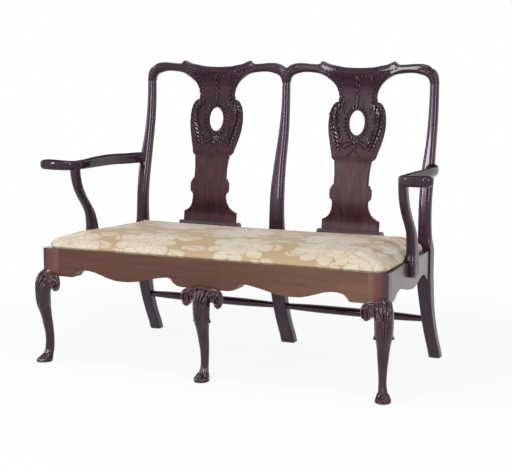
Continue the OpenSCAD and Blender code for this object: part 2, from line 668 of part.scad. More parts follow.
// Height share above the shoe and share of the stile's lean
splat_bend_shares = [
    [0, 0.12], [0.07, 0.17], [0.18, 0.08], [0.285, 0.133], [0.41, 0.267], [0.5, 0.373], [0.57, 0.533],
    [0.68, 0.733], [0.80, 0.867], [0.9, 0.95], [1, 1]
];
splat_h = neck_z - shoe_top;
tongue_h = shoe_h * 0.3;
function splat_y(z) = block_mid_y + stile_lean * smooth(splat_bend_shares, (z - shoe_top) / splat_h);
module splat_tongue() {
    translate([chair_x - splat_w * 0.3, splat_y(neck_z) - splat_t / 2, neck_z])
        cube([splat_w * 0.6, splat_t, tongue_h]);
}
module splat_foot() {
    translate([chair_x - splat_w * 0.42, splat_y(shoe_top) - splat_t / 2, shoe_top - tongue_h])
        cube([splat_w * 0.84, splat_t, tongue_h]);
}
oval_z = shoe_top + splat_h * 0.811;
module splat_body() {
    half = [for (r = splat_edge_shares) [r[1] * splat_w / 2, shoe_top + r[0] * splat_h]];
    bend = [for (i = [0 : 20]) let (z = shoe_top + splat_h * i / 20) [splat_y(z), z]];
    front = [for (q = bend) [q[0] - splat_t / 2, q[1]]];
    back = [for (q = bend) [q[0] + splat_t / 2, q[1]]];
    translate([chair_x, 0, 0]) intersection() {
        translate([0, seat_d * 2, 0]) rotate([90, 0, 0]) linear_extrude(seat_d * 2) difference() {
            polygon(concat(half, mirrored(half)));
            polygon([for (k = [0 : 27]) let (a = 360 * k / 28) [oval_w / 2 * cos(a), oval_z + oval_h / 2 * sin(a)]]);
        }
        translate([-splat_w, 0, 0]) rotate([90, 0, 90]) linear_extrude(splat_w * 2) polygon(concat(front, reversed(back)));
    }
    splat_tongue();
    splat_foot();
}
module splat_right() { color(mahogany) splat_body(); }
module splat_left() { color(mahogany) mirror([1, 0, 0]) splat_body(); }

// Shoes: moulded blocks that the splats stand in
shoe_front = splat_y(shoe_top) - shoe_d / 2;
module shoe_right() {
    cove = shoe_h * 0.2;
    profile = [
        [0, rail_top], [shoe_d, rail_top], [shoe_d, shoe_top - cove], [shoe_d - cove / 2, shoe_top - cove / 2],
        [shoe_d - cove, shoe_top], [cove, shoe_top], [cove / 2, shoe_top - cove / 2], [0, shoe_top - cove]
    ];
    difference() {
        translate([chair_x - shoe_w / 2, shoe_front, 0]) rotate([90, 0, 90]) linear_extrude(shoe_w) polygon(profile);
        splat_foot();
    }
}
module splat_shoe_right() { color(mahogany) shoe_right(); }
module splat_shoe_left() { color(mahogany) mirror([1, 0, 0]) shoe_right(); }

// Arms: share of the way forward from the post, share of the reach out and rise as a share of the thickness
arm_shares = [
    [0, 0.057, -0.02], [0.103, 0.23, -0.02], [0.236, 0.357, 0], [0.368, 0.386, 0.04], [0.5, 0.371, 0.03],
    [0.644, 0.352, 0], [0.772, 0.345, -0.05], [0.885, 0.37, -0.08], [0.95, 0.46, -0.07],
    [0.986, 0.70, -0.03], [1, 1, 0.01]
];
// Share of the way along the arm, width and thickness as shares,
// and rise of the outer edge as a share of the thickness
arm_section_shares = [
    [0, 0.95, 0.97, 0.08], [0.12, 1, 1, 0.13], [0.25, 1, 1, 0.14], [0.45, 0.95, 0.96, 0.11], [0.6, 0.88, 0.92, 0.04],
    [0.72, 0.84, 0.92, 0], [0.84, 1.05, 0.97, 0], [0.94, 1.2, 1, 0], [1, 1.22, 0.98, 0]
];
arm_mid = rail_top + arm_rise;
arm_sides = 4;
arm_post_y = stile_y(arm_mid);
arm_line = curve([
    for (r = arm_shares)
        [post_x + r[1] * arm_out, arm_post_y + r[0] * (arm_tip_y - arm_post_y), arm_mid + r[2] * arm_t]
], 2);
function flat_side(a, b) = let (d = [b[0] - a[0], b[1] - a[1]]) [-d[1], d[0]] / norm(d);
function arm_ring(i, scale_w = 1, push = 0) =
    let (n = len(arm_line) - 1, s = i / n)
    let (side = flat_side(arm_line[max(i - 1, 0)], arm_line[min(i + 1, n)]))
    let (w = smooth(arm_section_shares, s, 1) * arm_w / 2 * scale_w)
    let (t = smooth(arm_section_shares, s, 2) * arm_t / 2 * (scale_w < 1 ? 0.4 + 0.6 * scale_w : 1))
    let (tilt = smooth(arm_section_shares, s, 3) * arm_t / w)
    let (x = arm_line[i][0] + push * side[1], y = arm_line[i][1] - push * side[0], z = arm_line[i][2])
    [for (q = oblong(w, t, 0.75, 0.75, arm_sides - 1)) [x + side[0] * q[0], y + side[1] * q[0], z + q[1] + tilt * q[0]]];
module arm_body() {
    n = len(arm_line) - 1;
    w = arm_w * 0.61;
    skin(concat(
        [for (i = [0 : n]) arm_ring(i)],
        [for (a = [25, 50, 70, 84]) arm_ring(n, cos(a), w * sin(a))]
    ));
}
module arm_right_solid() {
    difference() {
        arm_body();
        translate([post_x, 0, 0]) skin([for (i = [12 : 15]) outer_rings[i]]);
        arm_screw_hole();
    }
}
module arm_right() { color(mahogany) arm_right_solid(); }
module arm_left() { color(mahogany) mirror([1, 0, 0]) arm_right_solid(); }

// Screw from the back of each post into its arm
arm_screw_l = post_d * 1.9;
module at_arm_screw() {
    aim = arm_line[3] - arm_line[0];
    back = [post_x, arm_post_y + post_top_d * 0.42, arm_mid];
    translate(back) rotate([90, 0, atan2(aim[0], -aim[1])]) children();
}
module arm_screw() { at_arm_screw() wood_screw(arm_screw_l); }
module arm_screw_hole() { at_arm_screw() screw_hole(arm_screw_l, post_d / 2); }
module arm_post_screws() {
    color(steel) {
        arm_screw();
        mirror([1, 0, 0]) arm_screw();
    }
}

// Arm supports: height share between the rail and the arm, share of the sweep back,
// and width and thickness shares
support_shares = [
    [-0.35, 0, 0.7, 0.7], [-0.31, 0, 1.15, 0.9], [-0.2, 0, 1.5, 1], [0, 0, 1.6, 1.07], [0.12, -0.02, 1.45, 1.06],
    [0.34, 0.10, 1.1, 1], [0.46, 0.31, 1, 1], [0.58, 0.58, 0.98, 1], [0.72, 0.82, 1, 0.97],
    [0.86, 0.95, 1.05, 0.92], [1, 1, 1.12, 0.87]
];
support_top_i = 14;
support_head = arm_line[support_top_i] + [support_t * 0.1, 0, 0];
support_foot_y = seat_d * 0.523;
support_run = support_head[2] - arm_t * 0.2 - rail_top;
function support_mid(r) =
    let (y = blend(support_foot_y, support_head[1] - support_w * 0.2, r[1]))
    let (foot_x = side_x(support_foot_y) + support_t * 0.14)
    let (x = r[0] < 0 ? foot_x + support_t * 0.1 : blend(foot_x, support_head[0] - support_t * 0.05, r[1]))
    [x, y, rail_top + r[0] * (r[0] < 0 ? support_lap / 0.35 : support_run)];
module support_body() {
    skin([
        for (r = support_shares)
            let (m = support_mid(r))
            [for (q = oblong(r[3] * support_t / 2, r[2] * support_w / 2, 0.8, 0.8)) [m[0] + q[0], m[1] + q[1], m[2]]]
    ]);
}
module support_right() {
    difference() {
        support_body();
        skin([for (i = [support_top_i - 4 : support_top_i + 4]) arm_ring(i)]);
        linear_extrude(rail_top) polygon([[0, 0], [side_x(0), 0], [side_x(seat_d), seat_d], [0, seat_d]]);
        support_screw_holes();
    }
}
module arm_support_right() { color(mahogany) support_right(); }
module arm_support_left() { color(mahogany) mirror([1, 0, 0]) support_right(); }
// Two screws through each side rail into the support, at shares of its lap
screw_drop_shares = [0.54, 0.8];
module support_screws_right() {
    for (k = screw_drop_shares)
        translate([side_x(support_foot_y) - side_rail_t, support_foot_y, rail_top - support_lap * k])
            rotate([0, 90, 0]) wood_screw(side_rail_t + support_t * 0.3);
}
module support_screw_holes() { support_screws_right(); }
module arm_support_screws() {
    color(steel) {
        support_screws_right();
        mirror([1, 0, 0]) support_screws_right();
    }
}

// Drop-in seat
seat_side = side_lip_w + seat_gap;
seat_front = lip_w + seat_gap;
seat_back = seat_d - seat_gap;
turned_t = 1;
turned_w = bar_w * 0.45;
seat_low = rebate_floor + fit_gap;
bar_low = seat_low + turned_t;
bar_top = bar_low + bar_t;
web_t = 1.5;
hessian_t = 1;
stuffing_low = bar_top + web_t + hessian_t;
function seat_edge(extra) = plan(seat_side + extra, seat_front + extra, max(seat_r - extra, seat_gap), seat_back - extra);
module seat_plan(extra) { polygon(seat_edge(extra)); }
// Inset share of the seat's depth and height share of the crown
crown_shares = [
    [0, 0.1], [0.002, 0.3], [0.008, 0.49], [0.024, 0.67], [0.055, 0.82], [0.11, 0.92], [0.2, 0.975], [0.34, 1]
];
seat_mid_y = (seat_front + seat_back) / 2;
function shrunk(p, d) =
    let (w = side_x(seat_mid_y), h = (seat_back - seat_front) / 2)
    [for (q = p) [q[0] * (1 - d / w), seat_mid_y + (q[1] - seat_mid_y) * (1 - d / h)]];
module seat_dome(extra, low) {
    edge = seat_edge(extra);
    depth = seat_back - seat_front;
    skin(concat(
        [[for (q = edge) [q[0], q[1], low]]],
        [for (r = crown_shares) [for (q = shrunk(edge, r[0] * depth)) [q[0], q[1], rail_top + r[1] * crown_h - extra]]]
    ));
}
module bar_space(y0, y1) { translate([-front_w, y0]) square([2 * front_w, y1 - y0]); }
front_bar_y = seat_front + cover_t + bar_w;
rear_bar_y = seat_back - cover_t - bar_w;
module seat_bar(y0, y1) {
    color(beech) difference() {
        translate([0, 0, bar_low]) linear_extrude(bar_t) intersection() {
            seat_plan(cover_t);
            bar_space(y0, y1);
        }
        tack_set();
    }
}
module seat_bar_front() { seat_bar(0, front_bar_y); }
module seat_bar_rear() { seat_bar(rear_bar_y, seat_d); }
module side_bar_right() {
    difference() {
        translate([0, 0, bar_low]) linear_extrude(bar_t) intersection() {
            seat_plan(cover_t);
            polygon([
                [side_x(front_bar_y) - seat_side - bar_w, front_bar_y], [front_w, front_bar_y],
                [front_w, rear_bar_y], [side_x(rear_bar_y) - seat_side - bar_w, rear_bar_y]
            ]);
        }
        tack_set();
    }
}
module seat_bar_right() { color(beech) side_bar_right(); }
module seat_bar_left() { color(beech) mirror([1, 0, 0]) side_bar_right(); }
module seat_bar_centre() {
    color(beech) translate([-bar_w / 2, front_bar_y, bar_low]) cube([bar_w, rear_bar_y - front_bar_y, bar_t]);
}
// Webbing: strips both ways across the bars
web_rows = 4;
web_columns = 9;
web_end = bar_w * 0.6;
module seat_webbing() {
    y0 = front_bar_y - web_end;
    y1 = rear_bar_y + web_end;
    half = side_x(seat_mid_y) - seat_side - bar_w + web_end;
    color(linen) translate([0, 0, bar_top]) linear_extrude(web_t) intersection() {
        seat_plan(cover_t * 2);
        union() {
            for (i = [1 : web_rows])
                translate([-half, front_bar_y + (rear_bar_y - front_bar_y) * i / (web_rows + 1) - web_w / 2])
                    square([2 * half, web_w]);
            for (i = [1 : web_columns])
                translate([-half + 2 * half * i / (web_columns + 1) - web_w / 2, y0]) square([web_w, y1 - y0]);
        }
    }
}
module seat_hessian() {
    color(linen) translate([0, 0, bar_top + web_t]) linear_extrude(hessian_t) seat_plan(cover_t * 2);
}
module seat_stuffing() { color(linen) seat_dome(cover_t, stuffing_low); }
module seat_cover() {
    color(damask) {
        difference() {
            seat_dome(0, seat_low);
            seat_dome(cover_t, seat_low - over);
        }
        translate([0, 0, seat_low]) linear_extrude(turned_t) difference() {
            seat_plan(cover_t);
            seat_plan(cover_t + turned_w);
        }
    }
}
cloth_t = 0.6;
module dust_cloth() {
    color(black_cloth) difference() {
        translate([0, 0, bar_low - cloth_t]) linear_extrude(cloth_t) seat_plan(cover_t + turned_w);
        tack_set();
    }
}
// Tacks through the dust cloth into the bars
tack_head_d = 8;
tack_head_t = 0.8;
tack_d = 2;
tack_l = 9;
tack_step = 95;
module tack() {
    translate([0, 0, bar_low - cloth_t - tack_head_t]) cylinder(h = tack_head_t, d = tack_head_d, $fn = 24);
    translate([0, 0, bar_low - cloth_t]) cylinder(h = tack_l, d = tack_d, $fn = 24);
}
module tack_set() {
    in = turned_w + (bar_w - turned_w) * 0.65;
    y_front = seat_front + in;
    y_rear = seat_back - in;
    columns = floor((side_x(seat_d) - seat_side - in) / tack_step);
    rows = floor((y_rear - y_front) / tack_step);
    for (s = [-1, 1]) {
        for (i = [1 : columns], y = [y_front, y_rear]) translate([s * tack_step * i, y, 0]) tack();
        for (i = [1 : rows - 1])
            let (y = y_front + (y_rear - y_front) * i / rows)
            translate([s * (side_x(y) - seat_side - in), y, 0]) tack();
    }
}
module dust_cloth_tacks() { color(steel) tack_set(); }

module placed() { translate([0, -origin_y, 0]) children(); }
placed() back_post_left();
placed() back_post_centre();
placed() back_post_right();
placed() crest_rail_left();
placed() crest_rail_right();
placed() splat_left();
placed() splat_right();
placed() splat_shoe_left();
placed() splat_shoe_right();
placed() front_seat_rail();
placed() side_seat_rail_left();
placed() side_seat_rail_right();
placed() rear_seat_rail_left();
placed() rear_seat_rail_right();
placed() centre_cross_rail();
placed() front_leg_left();
placed() front_leg_centre();
placed() front_leg_right();
placed() knee_bracket_left();
placed() knee_bracket_centre_left();
placed() knee_bracket_centre_right();
placed() knee_bracket_right();
placed() rear_stretcher_left();
placed() rear_stretcher_right();
placed() arm_left();
placed() arm_right();
placed() arm_support_left();
placed() arm_support_right();
placed() corner_block_front_left();
placed() corner_block_front_right();
placed() corner_block_rear_left();
placed() corner_block_rear_right();
placed() corner_block_screws();
placed() arm_support_screws();
placed() arm_post_screws();
placed() seat_bar_front();
placed() seat_bar_rear();
placed() seat_bar_left();
placed() seat_bar_right();
placed() seat_bar_centre();
placed() seat_webbing();
placed() seat_hessian();
placed() seat_stuffing();
placed() seat_cover();
placed() dust_cloth();
placed() dust_cloth_tacks();
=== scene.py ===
import math

import bmesh
import bpy
import numpy as np
from mathutils import Matrix, Vector
from mathutils.geometry import delaunay_2d_cdt


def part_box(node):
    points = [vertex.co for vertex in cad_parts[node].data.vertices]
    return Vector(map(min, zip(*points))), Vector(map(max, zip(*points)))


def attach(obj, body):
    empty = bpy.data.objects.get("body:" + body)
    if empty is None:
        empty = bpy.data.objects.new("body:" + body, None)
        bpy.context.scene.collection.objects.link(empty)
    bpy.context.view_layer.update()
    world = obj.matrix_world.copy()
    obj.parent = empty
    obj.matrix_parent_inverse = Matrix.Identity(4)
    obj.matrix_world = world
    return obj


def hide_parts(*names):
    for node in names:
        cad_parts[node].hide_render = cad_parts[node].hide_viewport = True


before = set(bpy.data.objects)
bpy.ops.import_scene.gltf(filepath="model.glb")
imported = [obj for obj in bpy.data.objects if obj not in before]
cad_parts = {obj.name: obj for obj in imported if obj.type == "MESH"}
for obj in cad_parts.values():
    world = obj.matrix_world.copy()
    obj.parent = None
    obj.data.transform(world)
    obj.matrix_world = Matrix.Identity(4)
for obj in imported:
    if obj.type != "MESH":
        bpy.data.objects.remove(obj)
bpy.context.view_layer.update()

bl_info = {
    "name": "Chair back settee",
    "version": (1, 0, 0),
    "blender": (4, 5, 0),
    "location": "View3D > Sidebar > Settee",
    "description": "Dresses a double chair-back settee in carved mahogany and woven damask",
    "category": "Object",
}

# Sizes of the frame, in metres, in the layout that has y 0 at the front rail's face
FACE_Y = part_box("front_seat_rail")[0][1]
RAIL_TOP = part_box("front_seat_rail")[1][2]
BACK_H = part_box("crest_rail_right")[1][2]
RAIL_LOW = RAIL_TOP - 0.092
REBATE = RAIL_TOP - 0.017
FRONT_W, REAR_W, SEAT_D = 1.226, 1.127, 0.512
LIPS = (0.010, 0.020)
POST_TOP = BACK_H - 0.075
NECK_Z = BACK_H - 0.123
CREST_H = 0.123
SHOE_TOP = RAIL_TOP + 0.048
POST_X, POST_SHIFT = 0.54, 0.004
CHAIR_X = POST_X / 2
BLOCK_Y = SEAT_D + 0.019
LEAN, KICK = 0.070, 0.107
LEG_BLOCK, LEG_AXIS, KNEE_TOP = 0.064, 0.022, 0.312
CENTRE_LEG_AXIS = 0.01408
JOINT_GAP = 0.0008
SIDES = ("right", "left")


def smooth(table, x, c=1):
    """Value of column c at x, on a smooth curve through the table's rows."""
    t = np.asarray(table, float)
    x = np.clip(np.asarray(x, float), t[0, 0], t[-1, 0])
    i = np.clip(np.searchsorted(t[:, 0], x, side="right") - 1, 0, len(t) - 2)
    a, b, d, e = (t[np.clip(i + k, 0, len(t) - 1)] for k in (-1, 0, 1, 2))
    step = d[..., 0] - b[..., 0]
    s = (x - b[..., 0]) / step
    m = (d[..., c] - a[..., c]) / (d[..., 0] - a[..., 0]) * step
    n = (e[..., c] - b[..., c]) / (e[..., 0] - b[..., 0]) * step
    rise = 3 * s**2 - 2 * s**3
    return (1 - rise) * b[..., c] + (s**3 - 2 * s**2 + s) * m + rise * d[..., c] + (s**3 - s**2) * n


def curve(points, n):
    """Smooth curve through free points, n steps between each two."""
    p = np.asarray(points, float)
    out = []
    for i in range(len(p) - 1):
        a, b, d, e = (p[min(max(i + k, 0), len(p) - 1)] for k in (-1, 0, 1, 2))
        for k in range(n):
            s = k / n
            bend, twist = a * 2 - b * 5 + d * 4 - e, b * 3 - a - d * 3 + e
            out.append((b * 2 + (d - a) * s + bend * s**2 + twist * s**3) / 2)
    return np.array(out + [p[-1]])


def along(path, n):
    """n points spaced evenly along a path."""
    p = np.asarray(path, float)
    run = np.concatenate([[0], np.cumsum(np.linalg.norm(np.diff(p, axis=0), axis=1))])
    s = np.linspace(0, run[-1], n)
    return np.stack([np.interp(s, run, p[:, k]) for k in range(p.shape[1])], 1)


def side_x(y):
    """Half width of the seat frame at y."""
    return (FRONT_W + (REAR_W - FRONT_W) * y / SEAT_D) / 2


def oblong(w, d, front, back, steps=6):
    """Closed ring of a rounded oblong of half sizes w and d, with extra points on its flats."""
    arcs = []
    for q in range(4):
        sx, sy = (1, -1, -1, 1)[q], (1, 1, -1, -1)[q]
        r = min(w, d) * (back if q < 2 else front)
        a = np.radians(90 * (q + np.linspace(0, 1, steps + 1)))
        arcs.append(np.stack([sx * (w - r) + r * np.cos(a), sy * (d - r) + r * np.sin(a)], 1))
    out = []
    for q in range(4):
        out.extend(arcs[q])
        gap = arcs[(q + 1) % 4][0] - arcs[q][-1]
        out.extend(arcs[q][-1] + gap * s for s in (0.12, 0.5, 0.88))
    return np.array(out)


def loft(rings):
    """Closed skin over rings of as many points each."""
    rings = np.asarray(rings, float)
    n, m = rings.shape[:2]
    i, j = np.meshgrid(np.arange(n - 1), np.arange(m), indexing="ij")
    k = (j + 1) % m
    faces = np.stack([i * m + j, i * m + k, (i + 1) * m + k, (i + 1) * m + j], -1).reshape(-1, 4).tolist()
    faces += [list(range(m))[::-1], [(n - 1) * m + q for q in range(m)]]
    return rings.reshape(-1, 3), faces


def prism(outline, z0, z1):
    """Upright block over an outline in plan."""
    return loft([[(x, y, z) for x, y in outline] for z in (z0, z1)])


def numbers(data, key, width=1, kind=float):
    """One property of a mesh's points or corners, as an array."""
    out = np.empty(len(data) * width, kind)
    data.foreach_get(key, out)
    return out.reshape(-1, width) if width > 1 else out


def store(data, key, values):
    """Sets one property of a mesh's points or corners from an array."""
    data.foreach_set(key, np.asarray(values, np.float32).ravel())


def solid(name, parts, finish, nodes=(), body="frame", flip=False, sharp=40):
    """One object from parts given as points and faces, riding on its body and standing for its nodes."""
    verts, faces, base = [], [], 0
    for points, part_faces in parts:
        verts.append(np.asarray(points, float))
        faces += [[base + v for v in f] for f in part_faces]
        base += len(points)
    verts = np.concatenate(verts) * ((-1, 1, 1) if flip else (1, 1, 1)) + (0, FACE_Y, 0)
    mesh = bpy.data.meshes.new(name)
    mesh.from_pydata(verts.tolist(), [], faces)
    return dress(name, mesh, finish, nodes, body, sharp)


def carved_piece(node, side, parts, look, ending="carved", sharp=40):
    """A mahogany piece that stands for its node. The left one mirrors the right one."""
    node = node + "_" + side
    return solid(
        node + "_" + ending, parts, finish(look), (node,), flip=side == "left", sharp=sharp)


def dress(name, mesh, finish, nodes=(), body="frame", sharp=40, bevel=0.0):
    """Turns a mesh's faces outwards, gives it its finish and puts it on its body."""
    bm = bmesh.new()
    bm.from_mesh(mesh)
    bmesh.ops.recalc_face_normals(bm, faces=bm.faces)
    bm.to_mesh(mesh)
    bm.free()
    mesh.shade_smooth()
    mesh.set_sharp_from_angle(angle=math.radians(sharp))
    mesh.materials.clear()
    mesh.materials.append(finish)
    obj = bpy.data.objects.new(name, mesh)
    bpy.context.collection.objects.link(obj)
    if bevel:
        mod = obj.modifiers.new("Eased edges", "BEVEL")
        mod.width, mod.segments, mod.limit_method, mod.angle_limit = bevel, 3, "ANGLE", math.radians(35)
        mod.harden_normals = True
    hollows(mesh)
    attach(obj, body)
    if nodes:
        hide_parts(*nodes)
    return obj


def hollows(mesh):
    """Stores how far each point lies in a recess, from its neighbours, for darkening in the recesses and wear on
    the edges.
    """
    n = len(mesh.vertices)
    co, no = numbers(mesh.vertices, "co", 3), numbers(mesh.vertex_normals, "vector", 3)
    a, b = numbers(mesh.edges, "vertices", 2, int).T
    a, b = np.concatenate([a, b]), np.concatenate([b, a])
    count = np.maximum(np.bincount(a, minlength=n), 1)
    d = co[b] - co[a]
    reach = np.maximum(np.linalg.norm(d, axis=1), 1e-6)
    bend = np.bincount(a, weights=(d * no[a]).sum(1) / reach, minlength=n) / count
    for _ in range(2):
        bend = 0.5 * bend + 0.5 * np.bincount(a, weights=bend[b], minlength=n) / count
    store(mesh.attributes.new("hollow", "FLOAT", "POINT").data, "value", np.clip(bend * 2.5, -1, 1))


def refined(node, finish, bevel=0.0012):
    """A merged copy of a plain sawn node, with its edges eased."""
    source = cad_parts[node]
    mesh = source.data.copy()
    mesh.name = node + "_dressed"
    bm = bmesh.new()
    bm.from_mesh(mesh)
    bmesh.ops.remove_doubles(bm, verts=bm.verts, dist=2e-5)
    bmesh.ops.dissolve_limit(bm, angle_limit=math.radians(1), verts=bm.verts, edges=bm.edges)
    bm.to_mesh(mesh)
    bm.free()
    return dress(node + "_dressed", mesh, finish, (node,), "frame", 30, bevel)


# Boards cut to an outline, with a carved face: rows of points follow the edge, where the relief dies out
EDGE_ROWS, RELIEF_EDGE = (0.0004, 0.0011, 0.0023), 0.0025


def inside(points, loop):
    """Which points lie inside a closed loop."""
    x, y = points[:, :1], points[:, 1:2]
    x0, y0 = loop.T
    x1, y1 = np.roll(loop, -1, 0).T
    rise = np.where(y1 == y0, 1e-12, y1 - y0)
    cross = ((y0 > y) != (y1 > y)) & (x < (x1 - x0) * (y - y0) / rise + x0)
    return cross.sum(1) % 2 == 1


def edge_gap(points, loops, keep=None):
    """Distance of each point from the nearest edge of the loops, over the kept edges only."""
    best = np.full(len(points), 9.0)
    for index, loop in enumerate(loops):
        a, b = loop, np.roll(loop, -1, 0)
        if keep is not None:
            a, b = a[keep[index]], b[keep[index]]
        ab = b - a
        size = np.maximum((ab**2).sum(1), 1e-14)
        for k in range(0, len(points), 4000):
            p = points[k:k + 4000, None, :] - a[None]
            t = np.clip((p * ab).sum(2) / size, 0, 1)
            d = np.sqrt(((p - t[..., None] * ab) ** 2).sum(2)).min(1)
            best[k:k + 4000] = np.minimum(best[k:k + 4000], d)
    return best


def even_count(loop, n):
    """n points spaced evenly round a closed loop."""
    return along(np.concatenate([loop, loop[:1]]), n + 1)[:-1]


def even_loop(loop, step):
    """Points about a step apart round a closed loop."""
    closed = np.concatenate([loop, loop[:1]])
    length = np.linalg.norm(np.diff(closed, axis=0), axis=1).sum()
    return even_count(loop, max(8, int(length / step)))


def eased(gap, radius):
    """How far a rounded edge falls away at a gap from it."""
    d = np.clip(gap, 0, radius)
    return radius - np.sqrt(np.maximum(radius**2 - (radius - d) ** 2, 0))


def board(outline, holes, step, faces_y, relief, radii, joint=None):
    """A board cut to an outline in x and z, with its front's relief and its edges rounded but for its joints.

    faces_y and radii are pairs of functions of x and z, for the front and the back."""
    loops = [even_loop(np.asarray(q, float), step * 0.8) for q in [outline, *holes]]
    keep = []
    for loop in loops:
        mid = (loop + np.roll(loop, -1, 0)) / 2
        keep.append(np.ones(len(loop), bool) if joint is None else ~joint(mid[:, 0], mid[:, 1]))
    rings = []
    for loop in loops:
        d = np.roll(loop, -1, 0) - np.roll(loop, 1, 0)
        normal = np.stack([-d[:, 1], d[:, 0]], 1) / np.maximum(np.linalg.norm(d, axis=1), 1e-9)[:, None]
        for reach in EDGE_ROWS:
            for sign in (1, -1):
                ring = loop + normal * sign * reach
                rings.append(ring[edge_gap(ring, loops) > reach * 0.93])
    low, high = loops[0].min(0), loops[0].max(0)
    xs, zs = np.arange(low[0], high[0], step), np.arange(low[1], high[1], step * 0.866)
    grid = np.stack(np.meshgrid(xs, zs), -1)
    grid[1::2, :, 0] += step / 2
    grid = grid.reshape(-1, 2)
    free = np.concatenate(rings + [grid[edge_gap(grid, loops) > EDGE_ROWS[-1] + step * 0.45]])
    within = inside(free, loops[0])
    for hole in loops[1:]:
        within &= ~inside(free, hole)
    free = free[within]
    points = np.concatenate(loops + [free])
    edges, base = [], 0
    for loop in loops:
        n = len(loop)
        edges += [(base + k, base + (k + 1) % n) for k in range(n)]
        base += n
    coords, _, faces, _, _, _ = delaunay_2d_cdt([tuple(p) for p in points], edges, [], 0, 1e-9)
    flat = np.array([(c[0], c[1]) for c in coords])
    faces = np.array([f for f in faces if len(f) == 3])
    mid = flat[faces].mean(1)
    within = inside(mid, loops[0])
    for hole in loops[1:]:
        within &= ~inside(mid, hole)
    faces = faces[within].tolist()
    n = len(flat)
    gap = edge_gap(flat, loops, keep)
    x, z = flat.T
    y0 = faces_y[0](x, z) + eased(gap, radii[0](x, z)) - relief(x, z) * np.clip(gap / RELIEF_EDGE, 0, 1)
    y1 = faces_y[1](x, z) - eased(gap, radii[1](x, z))
    verts = np.concatenate([np.stack([x, y0, z], 1), np.stack([x, y1, z], 1)])
    # The walls join the two faces along each loop of the outline
    half = {(f[k], f[(k + 1) % 3]) for f in faces for k in range(3)}
    walls = [[a, b, b + n, a + n] for a, b in half if (b, a) not in half]
    return verts, faces + [[c + n, b + n, a + n] for a, b, c in faces] + walls


def level(value):
    """A function of x and z that is the same everywhere."""
    return lambda x, z: np.full(len(x), value)


def ramp(x, low, high):
    """Smooth step from 0 at low to 1 at high."""
    s = np.clip((np.asarray(x, float) - low) / (high - low), 0, 1)
    return s * s * (3 - 2 * s)


def stroke(x, z, path, width, height, kind="round", ribs=0.0, n=20):
    """Height of a carved stroke along a path. Its width is given at even steps from one end to the other."""
    path = along(curve(path, 6), n)
    out = np.zeros(len(x))
    reach = max(width)
    near = (x > path[:, 0].min() - reach) & (x < path[:, 0].max() + reach)
    near &= (z > path[:, 1].min() - reach) & (z < path[:, 1].max() + reach)
    if not near.any():
        return out
    p = np.stack([x[near], z[near]], 1)[:, None, :] - path[None, :-1]
    ab = np.diff(path, axis=0)
    t = np.clip((p * ab).sum(2) / np.maximum((ab**2).sum(1), 1e-14), 0, 1)
    off = p - t[..., None] * ab
    dist = np.sqrt((off**2).sum(2))
    i = dist.argmin(1)
    pick = np.arange(len(i))
    s = (i + t[pick, i]) / (n - 1)
    w = np.interp(s, np.linspace(0, 1, len(width)), width)
    side = np.sign(ab[i, 0] * off[pick, i, 1] - ab[i, 1] * off[pick, i, 0])
    u = dist[pick, i] / np.maximum(w, 1e-6)
    body = np.sqrt(np.clip(1 - u**2, 0, 1))
    if kind == "leaf":
        cut = 0.30 * np.abs(np.sin(math.pi * (s * ribs - u * 0.9))) * (u > 0.12)
        body = (0.4 + 0.6 * body) * (1 - 0.55 * np.exp(-((u / 0.13) ** 2))) * (1 - cut)
    elif kind == "rope":
        body = body * (0.62 + 0.38 * np.abs(np.sin(math.pi * (s * ribs + side * u * 0.35))))
    out[near] = np.where(u < 1, body * height, 0)
    return out


# Rows of carved leaves and petals, set along paths by geometry nodes

def leaf_unit(name, lobes, tip):
    """One leaf along +Y, a unit long, with a sunk midrib and lobed edges, closed below."""
    rows, across = 9, (-1.0, -0.55, 0.0, 0.55, 1.0)
    verts, faces = [], []
    for i in range(rows):
        t = i / (rows - 1)
        lobe = 1 + 0.22 * math.cos(2 * math.pi * lobes * t)
        wide = 0.04 + 0.22 * math.sin(math.pi * min(1.0, t**0.8)) ** 0.8 * lobe
        wide += tip * ramp(t, 0.55, 0.85) * (1 - ramp(t, 0.86, 1.0))
        rise = 0.26 * math.sin(math.pi * min(1.0, 0.12 + t * 0.88)) ** 0.6 + 0.10 * t
        for u in across:
            crown = 0.62 if u == 0.0 else (1.0 if abs(u) < 0.9 else -0.25)
            verts.append((u * wide, t, rise * crown if t < 1 else 0.02))
    n = len(across)
    for i in range(rows - 1):
        for k in range(n - 1):
            faces.append((i * n + k, i * n + k + 1, (i + 1) * n + k + 1, (i + 1) * n + k))
    rim = list(range(n)) + [i * n + n - 1 for i in range(1, rows)]
    rim += [(rows - 1) * n + k for k in range(n - 2, -1, -1)] + [i * n for i in range(rows - 2, 0, -1)]
    faces.append(tuple(rim[::-1]))
    mesh = bpy.data.meshes.new(name)
    mesh.from_pydata(verts, [], faces)
    mesh.shade_smooth()
    return bpy.data.objects.new(name, mesh)


